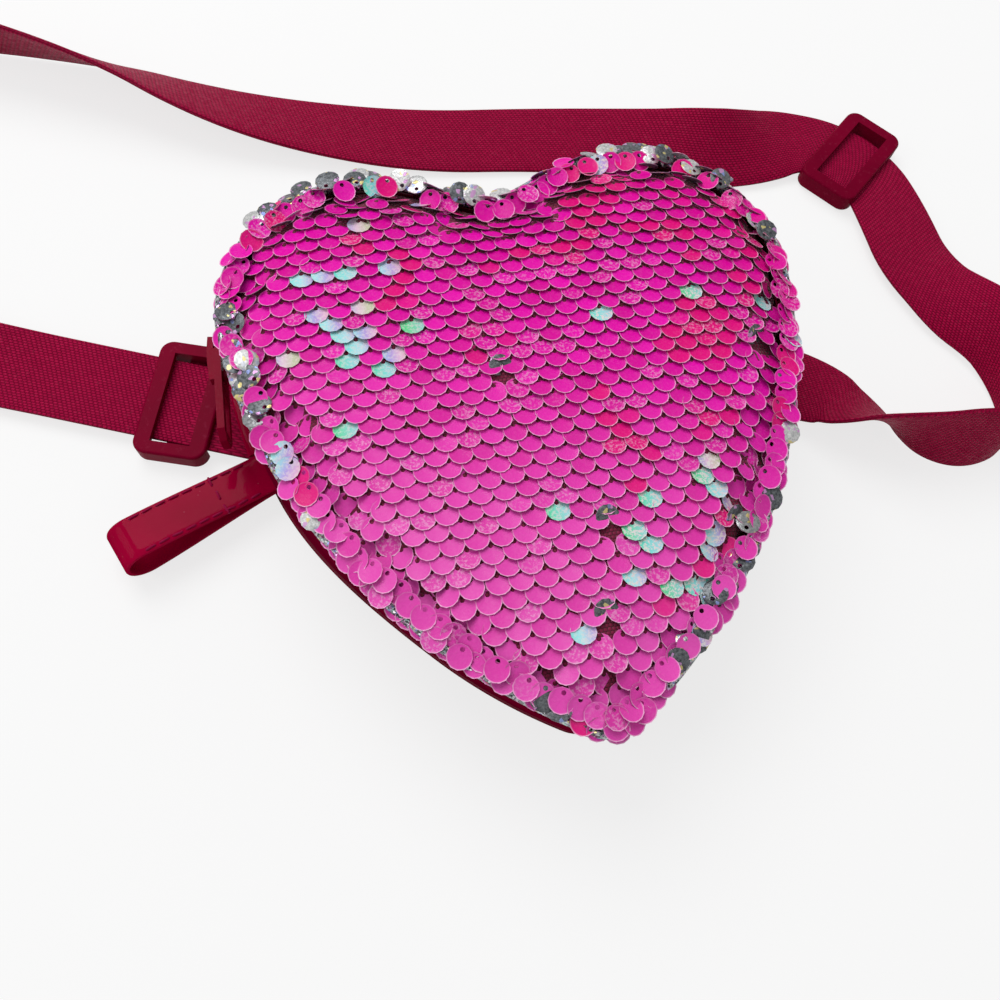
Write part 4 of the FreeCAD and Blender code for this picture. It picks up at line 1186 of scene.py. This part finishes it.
def make_thread_shape():
    """One stitch: a short arched thread whose ends dip into the cloth."""
    length, radius, sides = 2.3, 0.24, 6
    places = [(-0.5, -0.35), (-0.36, 0.18), (0.0, 0.3), (0.36, 0.18), (0.5, -0.35)]
    points = []
    for share, lift in places:
        for k in range(sides):
            angle = 2 * math.pi * k / sides
            height = lift * radius * 2 + radius * math.sin(angle)
            points.append(Vector((share * length, radius * math.cos(angle), height)))
    faces = ring_faces(len(places), sides)
    faces.append(list(reversed(range(sides))))
    faces.append([(len(places) - 1) * sides + k for k in range(sides)])
    return finish_mesh("thread_shape", points, faces, None, None, 80.0)


def make_stitch_tree():
    """Stitches at an even pitch along sewing lines, each lying on the cloth that carries it."""
    tree, give, take = geometry_tree("stitch_rows", [
        ("Stitch", "Object", None), ("Thread", "Material", None), ("Pitch", "Float", 0.0031),
        ("Seed", "Int", 5),
    ])
    way = put(tree, "GeometryNodeInputTangent").outputs[0]
    lie = lie_along(tree, recall(tree, "facing", "FLOAT_VECTOR"), way, "X")
    sway = chance(tree, give["Seed"], (0.0, 0.0, -0.09), (0.0, 0.0, 0.09), "FLOAT_VECTOR")
    set_out(
        tree, take, even_curve(tree, give), give["Stitch"], turned_by(tree, lie, sway), give["Thread"],
    )
    return tree


thread_shape = make_thread_shape()
STITCHES = make_stitch_tree()


def stitch(name, lines, pitch):
    return run_tree(sewing_lines(name, lines), STITCHES, Stitch=thread_shape, Thread=THREAD, Pitch=pitch * MM)


def stitched_wall(start, end, out, z):
    """Sewing line round the gusset at one height."""
    return [(wall_point(run, out, z), facing_at(run)) for run in steps(start, end, 1.5)]


def lobe_ray(degrees):
    """Outward direction from the left lobe's axis."""
    return turned(math.radians(degrees)).to_3d()


def stitched_lobe(start, end, radius, z):
    """Sewing line about the left lobe's axis at one height."""
    rays = [lobe_ray(degrees) for degrees in steps(start, end, 3.0)]
    return [(Vector((-LOBE.x + ray.x * radius, LOBE.y + ray.y * radius, z)), ray) for ray in rays]


# Gusset, seams and back

SEARCH_POINTS = 1500


def run_near(x, y):
    """Place round the heart that lies nearest to a point."""
    at = Vector((x, y))
    places = (ROUND * i / SEARCH_POINTS for i in range(SEARCH_POINTS))
    return min(places, key=lambda run: (heart_at(run)[0] - at).length)


LEFT_TAB = (run_near(-58.5, 33.4), run_near(-58.5, 13.8))
RIGHT_TAB = (run_near(58.0, 7.8), run_near(58.0, 27.4))
LOOP_RUN = run_near(-57.8, 8.2)
zip_start, zip_end = run_at_left_lobe(ZIP_FROM), run_at_left_lobe(ZIP_TO)


GUSSET_ROWS = 14
GUSSET_TUCK = 0.5
GUSSET_SWELL = 0.3
TAB_HOLD, TAB_HOLD_TO = 11.0, 11.0
LOOP_HOLD, LOOP_HOLD_TO = 6.5, 11.5


def apart(run, other):
    """Distance round the heart between two places."""
    return abs((run - other + ROUND / 2) % ROUND - ROUND / 2)


def make_gusset():
    """Soft vinyl wall, sewn at both seams and where the tabs and the loop are, with its inner face."""
    runs = steps(zip_end, zip_start + ROUND, 1.7)
    count = len(runs)
    low, high = WALL_FROM - GUSSET_TUCK, WALL_TO + GUSSET_TUCK
    heights = []
    points, faces, uvs, sewn = [], [], [], []
    for j in range(GUSSET_ROWS + 1):
        share = j / GUSSET_ROWS
        z = low + (high - low) * share
        heights.append(z)
        for i, run in enumerate(runs):
            by_tab = min(apart(run, sum(tab) / 2) for tab in (LEFT_TAB, RIGHT_TAB))
            by_loop = apart(run, LOOP_RUN)
            held = (by_tab < TAB_HOLD and z < TAB_HOLD_TO) or (by_loop < LOOP_HOLD and z < LOOP_HOLD_TO)
            if j in (0, GUSSET_ROWS) or i in (0, count - 1) or held:
                sewn.append(len(points))
            swell = 0.0 if held else GUSSET_SWELL * math.sin(math.pi * share)
            points.append(wall_point(run, swell, z))
    for j in range(GUSSET_ROWS):
        z0, z1 = heights[j:j + 2]
        for i in range(count - 1):
            a = j * count + i
            faces.append([a, a + 1, a + 1 + count, a + count])
            uvs.append([(runs[i], z0), (runs[i + 1], z0), (runs[i + 1], z1), (runs[i], z1)])
    wall = finish_mesh("patent_gusset", points, faces, PATENT_WALL, uvs, 60.0)
    let_settle(wall, sewn, pressure=6.0, slack=0.05, frames=22, outward=1.1, inward=0.6)
    thick = wall.modifiers.new("vinyl", "SOLIDIFY")
    thick.thickness = 1.0 * MM
    thick.offset = -1.0
    return baked(wall, "patent_gusset")


gusset = make_gusset()
cord_path = wall_stations(0.0, ROUND, 0.9)[:-1]


def seam_cord(name, level, material, radius=PIPE_RADIUS):
    stations = [(middle + UP * level, across, up, share) for middle, across, up, share in cord_path]
    return sweep(name, stations, round_cord(radius), material, True)


front_cord = seam_cord("front_glitter_cord", FRONT_SEAM, GLITTER_CORD, 1.3)
back_cord = seam_cord("back_vinyl_cord", BACK_SEAM, PATENT_WALL)


def heart_cushion(name, offset, low, high, edge, rise, material, rings=16):
    """Closed heart: a lower and an upper face that meet at the rim's height."""
    runs = steps(0.0, ROUND, 2.4)[:-1]
    count = len(runs)
    scales = [1.0, 0.985, 0.965, 0.94, 0.9] + [0.9 * (1 - (i + 1) / rings) for i in range(rings - 1)]
    points, faces = [], []
    for level, flip in ((low, True), (high, False)):
        first = len(points)
        for scale in scales:
            fall = min(1.0, ((1.0 - scale) / rise)) ** 0.5
            for run in runs:
                point, out = heart_at(run)
                point = (point + out * offset) * scale
                points.append(Vector((point.x, point.y, edge + (level - edge) * fall)))
        center = len(points)
        points.append(Vector((0.0, 0.0, level)))
        last = center - count
        side = ring_faces(len(scales), count, first)
        side += [[last + k, last + (k + 1) % count, center] for k in range(count)]
        faces += [face[::-1] if flip else face for face in side]
    piece = finish_mesh(name, points, faces, material, None, 50.0)
    weld = piece.modifiers.new("seam", "WELD")
    weld.merge_threshold = 0.01 * MM
    return baked(piece, name)


back_cover = heart_cushion("padded_vinyl_back", -1.5, 0.02, 3.12, 1.5, 0.1, PATENT_BACK)
lining_front = heart_cushion("lining_front", -1.8, 28.7, 29.1, 28.9, 0.02, LINING, 8)
lining_back = heart_cushion("lining_back", -1.8, 3.25, 3.65, 3.45, 0.02, LINING, 8)
LINING_PROFILE = [(-1.62, 3.3, 0.0), (-1.25, 3.3, 0.4), (-1.25, 29.1, 26.2), (-1.62, 29.1, 26.6)]
lining_wall = sweep(
    "lining_wall", wall_stations(zip_end, zip_start + ROUND, 2.5), LINING_PROFILE, LINING,
)

TUCK_MOST = 0.068
TUCK_FROM, TUCK_REACH = 5.0, 45.0
TUCK_ABOUT = 10.0


def tuck_under(piece):
    """The limp wall draws in below the front, more towards the tip and the table."""
    for corner in piece.data.vertices:
        x, y, z = corner.co / MM
        low = min(1.0, max(0.0, (TUCK_FROM - y) / TUCK_REACH))
        share = TUCK_MOST * low * low * (3.0 - 2.0 * low) * max(0.0, 1.0 - z / WALL_TO)
        corner.co -= Vector((x, y - TUCK_ABOUT, 0.0)) * share * MM


for limp in (gusset, back_cord, back_cover, lining_back, lining_wall):
    tuck_under(limp)


# Anchor tabs and the side loop

TAB_PROFILE = [
    (0.04, 3.32), (3.2, 3.32), (3.6, 3.55), (3.62, 3.95), (3.3, 4.28), (1.7, 4.36), (1.2, 4.75), (1.04, 5.5),
    (1.02, 9.7), (0.8, 10.2), (0.04, 10.28),
]


def make_tab(name, start, end):
    return sweep(name, wall_stations(start, end, 1.0), with_runs(TAB_PROFILE), PATENT_LOOP)


left_tab = make_tab("left_strap_tab", *LEFT_TAB)
right_tab = make_tab("right_strap_tab", *RIGHT_TAB)
LOOP_ROOT = Vector((-53.9, 9.1, 5.3))
LOOP_WAY = turned(math.radians(203.0)).to_3d()
LOOP_SIDE = Vector((-LOOP_WAY.y, LOOP_WAY.x, 0.0))
LOOP_START, LOOP_REACH = 3.2, 32.1
LOOP_ROOT_HALF, LOOP_FOLD = 0.52, 4.4
LOOP_WIDTH, LOOP_THICK = 9.4, 0.95


def loop_height(out):
    """Height of the loop's upper strand over its middle plane."""
    share = out / LOOP_REACH
    ease = 0.55 * share * share * (3 - 2 * share) + 0.45 * share
    return LOOP_ROOT_HALF + (LOOP_FOLD - LOOP_ROOT_HALF) * ease


def make_loop():
    """Vinyl band folded on itself: out along the top, round the fold and back underneath."""
    flat = [Vector((out, loop_height(out))) for out in steps(LOOP_START, LOOP_REACH, 1.0)]
    fold_middle = Vector((LOOP_REACH, 0.0))
    fold = [fold_middle + turned(math.radians(a)) * LOOP_FOLD for a in steps(80.0, -80.0, 10.0)]
    back = [Vector((p.x, -p.y)) for p in reversed(flat)]
    line = flat + fold + back
    stations = []
    for i, p in enumerate(line):
        way = way_at(line, i)
        middle = LOOP_ROOT + LOOP_WAY * p.x + UP * p.y
        stations.append((middle, LOOP_SIDE, LOOP_WAY * -way.y + UP * way.x, 1.0))
    profile = band(LOOP_WIDTH, LOOP_THICK, 7)
    loop = sweep("patent_side_loop", stations, profile, PATENT_LOOP)
    for ring in (0, len(stations) - 1):
        trim_to_wall(loop, ring * len(profile), len(profile), LOOP_WAY, 0.06)
    return loop


side_loop = make_loop()


def on_loop(out, across):
    """Place on the loop's upper face, with the direction that it faces."""
    slope = (loop_height(out + 0.1) - loop_height(out - 0.1)) / 0.2
    up = (LOOP_WAY * -slope + UP).normalized()
    return LOOP_ROOT + LOOP_WAY * out + UP * loop_height(out) + LOOP_SIDE * across + up * 0.5, up


loop_lines = [[on_loop(13.5, across) for across in steps(-3.6, 3.6, 0.8)]]
loop_lines += [[on_loop(out, across) for out in steps(7.0, 30.0, 1.0)] for across in (3.9, -3.9)]
loop_stitches = stitch("loop_stitches", loop_lines, 2.7)
tab_stitches = stitch("tab_stitches", [
    stitched_wall(tab[0] + 1.5, tab[1] - 1.5, 1.05, z) for tab in (LEFT_TAB, RIGHT_TAB) for z in (6.3, 9.0)
], 2.8)


# Zip round the left lobe

EDGE_INNER, EDGE_OUTER = 29.35, 30.5
EDGE_NEAR, EDGE_FAR = 4.5, 13.5
TAPE_NEAR, TAPE_FAR = 1.8, 11.8
BEAD_OUTER, BEAD_FAR = TAPE_OUTER + 0.8, 3.1
TEETH_TO = TEETH_FROM + TEETH_PITCH * TEETH_COUNT


def zip_piece(name, r_from, r_to, z_from, z_to, material, edge, start=ZIP_FROM, end=ZIP_TO):
    """Bar with rounded edges, bent about the left lobe's axis."""
    c = min(edge, (r_to - r_from) / 2.01, (z_to - z_from) / 2.01)
    corners = [
        (r_from + c, z_from), (r_to - c, z_from), (r_to, z_from + c), (r_to, z_to - c), (r_to - c, z_to),
        (r_from + c, z_to), (r_from, z_to - c), (r_from, z_from + c),
    ]
    profile = [(r - r_to, z, run) for r, z, run in with_runs(corners)]
    axis = Vector((-LOBE.x, LOBE.y, 0.0))
    rays = [lobe_ray(degrees) for degrees in steps(start, end, 1.6)]
    return sweep(name, [(axis + ray * r_to, ray, UP, 1.0) for ray in rays], profile, material)


def zip_levels(sign, near, far):
    """Lower and upper height of what lies near to far from the zip's middle, on one side of it."""
    return sorted((ZIP_LEVEL + sign * near, ZIP_LEVEL + sign * far))


zip_pieces = {}
for side, sign in (("front", 1), ("back", -1)):
    zip_pieces[f"zip_strip_{side}"] = zip_piece(
        f"vinyl_zip_edge_{side}", EDGE_INNER, EDGE_OUTER, *zip_levels(sign, EDGE_NEAR, EDGE_FAR),
        PATENT_WALL, 0.5,
    )
    zip_pieces[f"zip_tape_{side}"] = zip_piece(
        f"woven_zip_tape_{side}", TAPE_INNER, TAPE_OUTER, *zip_levels(sign, TAPE_NEAR, TAPE_FAR),
        ZIP_TAPE, 0.1,
    )
    zip_pieces[f"zip_bead_{side}"] = zip_piece(
        f"sewn_zip_bead_{side}", TAPE_OUTER, BEAD_OUTER, *zip_levels(sign, TAPE_NEAR, BEAD_FAR),
        ZIP_TAPE, 0.35, TEETH_FROM, TEETH_TO,
    )
zip_lines = [
    stitched_lobe(ZIP_FROM + 1.5, ZIP_TO - 1.5, EDGE_OUTER, ZIP_LEVEL + lift) for lift in (-6.1, 6.1)
]
zip_lines += [
    [(wall_point(run, 0.05, z), facing_at(run)) for z in steps(4.5, 28.0, 1.5)]
    for run in (zip_start - 2.0, zip_end + 2.0)
]
zip_stitches = stitch("zip_stitches", zip_lines, 2.9)


def make_tooth_shape():
    """One moulded tooth: a waisted head that reaches past the zip's middle, on a foot that grips the bead."""
    half = [(0.28, -0.72), (0.42, -0.3), (0.3, 0.35), (0.42, 1.1), (0.45, 3.05)]
    outline = [(-0.28, -0.72)] + half + [(-a, b) for a, b in reversed(half[1:])]
    levels = [(0.0, 1.0), (1.2, 1.0), (1.6, 0.72)]
    count = len(outline)
    points = []
    for lift, share in levels:
        points += [Vector((lift, a * share, b if share == 1.0 else 0.06 + b * 0.95)) for a, b in outline]
    faces = ring_faces(len(levels), count)
    faces.append([(len(levels) - 1) * count + k for k in range(count)])
    faces.append(list(reversed(range(count))))
    return finish_mesh("tooth_shape", points, faces, None, None, 50.0)


def make_teeth_tree():
    """Teeth at an even angle about the lobe's axis."""
    tree, give, take = geometry_tree("zip_teeth_row", [
        ("Tooth", "Object", None), ("Plastic", "Material", None), ("Count", "Int", TEETH_COUNT),
        ("Pitch", "Float", 0.067), ("First", "Float", 1.3), ("Radius", "Float", 0.0293),
        ("Axis", "Vector", None), ("Turn over", "Float", 0.0),
    ])
    index = put(tree, "GeometryNodeInputIndex").outputs[0]
    angle = calc(tree, "MULTIPLY_ADD", index, give["Pitch"], give["First"])
    ray = join(tree, calc(tree, "COSINE", angle), calc(tree, "SINE", angle))
    spot = vector_calc(tree, "ADD", scaled(tree, ray, give["Radius"]), give["Axis"])
    points = wired(tree, "GeometryNodePoints", {"Count": give["Count"], "Position": spot})[0]
    face = wired(tree, "FunctionNodeEulerToRotation", {0: join(tree, z=angle)})[0]
    rotation = turned_by(tree, face, join(tree, give["Turn over"]))
    set_out(tree, take, points, give["Tooth"], rotation, give["Plastic"])
    return tree


tooth_shape = make_tooth_shape()
teeth_tree = make_teeth_tree()
for side, first, over in (("front", 0.25, 0.0), ("back", 0.75, math.pi)):
    zip_pieces[f"zip_teeth_{side}"] = run_tree(
        tree_holder(f"zip_teeth_row_{side}"), teeth_tree, Tooth=tooth_shape, Plastic=TEETH_PLASTIC,
        Pitch=math.radians(TEETH_PITCH), First=math.radians(TEETH_FROM + TEETH_PITCH * first),
        Radius=TAPE_OUTER * MM, Axis=(-LOBE.x * MM, LOBE.y * MM, ZIP_LEVEL * MM), Turn_over=over,
    )
bpy.data.objects.remove(tooth_shape)
bpy.data.objects.remove(thread_shape)


# Camera, light and floor

def make_camera():
    place = Vector((-34.283, -72.683, 187.675)) * MM
    right = Vector((0.97858, -0.19242, 0.0732))
    down = Vector((-0.15418, -0.92059, -0.3588))
    forward = Vector((0.13642, 0.33983, -0.93054))
    data = bpy.data.cameras.new("photo_camera")
    data.sensor_width = 36.0
    data.lens = 32.4
    data.clip_start = 0.005
    camera = bpy.data.objects.new("photo_camera", data)
    SCENE.collection.objects.link(camera)
    turn = Matrix((right, -down, -forward)).transposed().to_4x4()
    camera.matrix_world = Matrix.Translation(place) @ turn
    SCENE.camera = camera


def make_lamp(name, at, aim, size, watts):
    data = bpy.data.lights.new(name, "AREA")
    data.shape = "DISK"
    data.size = size
    data.energy = watts
    lamp = bpy.data.objects.new(name, data)
    lamp.location = at
    lamp.rotation_euler = (Vector(aim) - Vector(at)).to_track_quat("-Z", "Y").to_euler()
    SCENE.collection.objects.link(lamp)


def make_floor():
    """White table: it glows faintly for the camera and for reflections, and keeps the object's shadow."""
    material = bpy.data.materials.new("white_table")
    material.use_nodes = True
    tree = material.node_tree
    tree.nodes.clear()
    matte = wired(tree, "ShaderNodeBsdfDiffuse", {"Color": (0.92, 0.92, 0.92, 1.0)})[0]
    glow = wired(tree, "ShaderNodeEmission", {"Strength": 1.0})[0]
    rays = put(tree, "ShaderNodeLightPath").outputs
    seen = calc(tree, "MAXIMUM", rays["Is Glossy Ray"], rays["Is Transmission Ray"])
    seen = calc(tree, "MAXIMUM", rays["Is Camera Ray"], seen)
    mix = wired(tree, "ShaderNodeMixShader", {0: times(tree, seen, 0.75), 1: matte, 2: glow})[0]
    wired(tree, "ShaderNodeOutputMaterial", {0: mix})
    reach, level = 4000.0, -0.2
    corners = [(x * reach, y * reach, level) for x, y in ((-1, -1), (1, -1), (1, 1), (-1, 1))]
    floor = finish_mesh("white_table", corners, [(0, 1, 2, 3)], material)


def make_world():
    world = bpy.data.worlds.new("studio")
    SCENE.world = world
    world.use_nodes = True
    tree = world.node_tree
    tree.nodes.clear()
    rays = put(tree, "ShaderNodeLightPath").outputs
    strength = span(tree, rays["Is Camera Ray"], 0.0, 1.0, 0.42, 1.0)
    sky = wired(tree, "ShaderNodeBackground", {"Color": (1.0, 1.0, 1.0, 1.0), "Strength": strength})[0]
    wired(tree, "ShaderNodeOutputWorld", {0: sky})


make_camera()
make_world()
make_floor()
make_lamp("overhead_soft_light", (-0.2, 0.62, 0.88), (0.0, 0.02, 0.0), 0.8, 6.4)
make_lamp("left_fill", (-0.8, 0.1, 0.6), (0.0, 0.0, 0.02), 0.5, 1.2)

SCENE.view_settings.view_transform = "Standard"


# Finishes for imported parts, and riding on the bag

for finish, names in (
    (SATIN_PLASTIC, ("left_glide", "right_glide")),
    (ENAMEL, ("zip_slider", "zip_pull", "zip_top_stop_front", "zip_top_stop_back", "zip_bottom_stop")),
):
    for name in names:
        NODES[name].data.materials.clear()
        NODES[name].data.materials.append(finish)

for piece, nodes, finish in (
    (strap, ["shoulder_strap"], "webbing"),
    (front, ["front_panel", "front_pad"], "mesh_cloth"),
    (sequins, ["sequin_layer"], "sequin"),
    (rim_rows[0], [], "sequin"),
    (rim_rows[1], [], "sequin"),
    (gusset, ["bottom_gusset"], "patent_vinyl"),
    (front_cord, ["front_piping"], "glitter_cord"),
    (back_cord, ["back_piping"], "patent_vinyl"),
    (back_cover, ["back_panel", "back_pad"], "patent_vinyl"),
    (lining_front, ["front_lining"], "lining_cloth"),
    (lining_back, ["back_lining"], "lining_cloth"),
    (lining_wall, ["gusset_lining"], "lining_cloth"),
    (left_tab, ["left_anchor_tab"], "patent_vinyl"),
    (right_tab, ["right_anchor_tab"], "patent_vinyl"),
    (side_loop, ["grab_loop"], "patent_vinyl"),
    (loop_stitches, [], "patent_vinyl"),
    (tab_stitches, [], "patent_vinyl"),
    (zip_stitches, [], "patent_vinyl"),
    (zip_pieces["zip_strip_front"], ["zip_strip_front"], "patent_vinyl"),
    (zip_pieces["zip_strip_back"], ["zip_strip_back"], "patent_vinyl"),
    (zip_pieces["zip_tape_front"], ["zip_tape_front"], "zip_tape"),
    (zip_pieces["zip_tape_back"], ["zip_tape_back"], "zip_tape"),
    (zip_pieces["zip_bead_front"], [], "zip_tape"),
    (zip_pieces["zip_bead_back"], [], "zip_tape"),
    (zip_pieces["zip_teeth_front"], ["zip_teeth_front"], "zip_teeth"),
    (zip_pieces["zip_teeth_back"], ["zip_teeth_back"], "zip_teeth"),
):
    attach(piece, "bag")
    if nodes:
        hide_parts(*nodes)
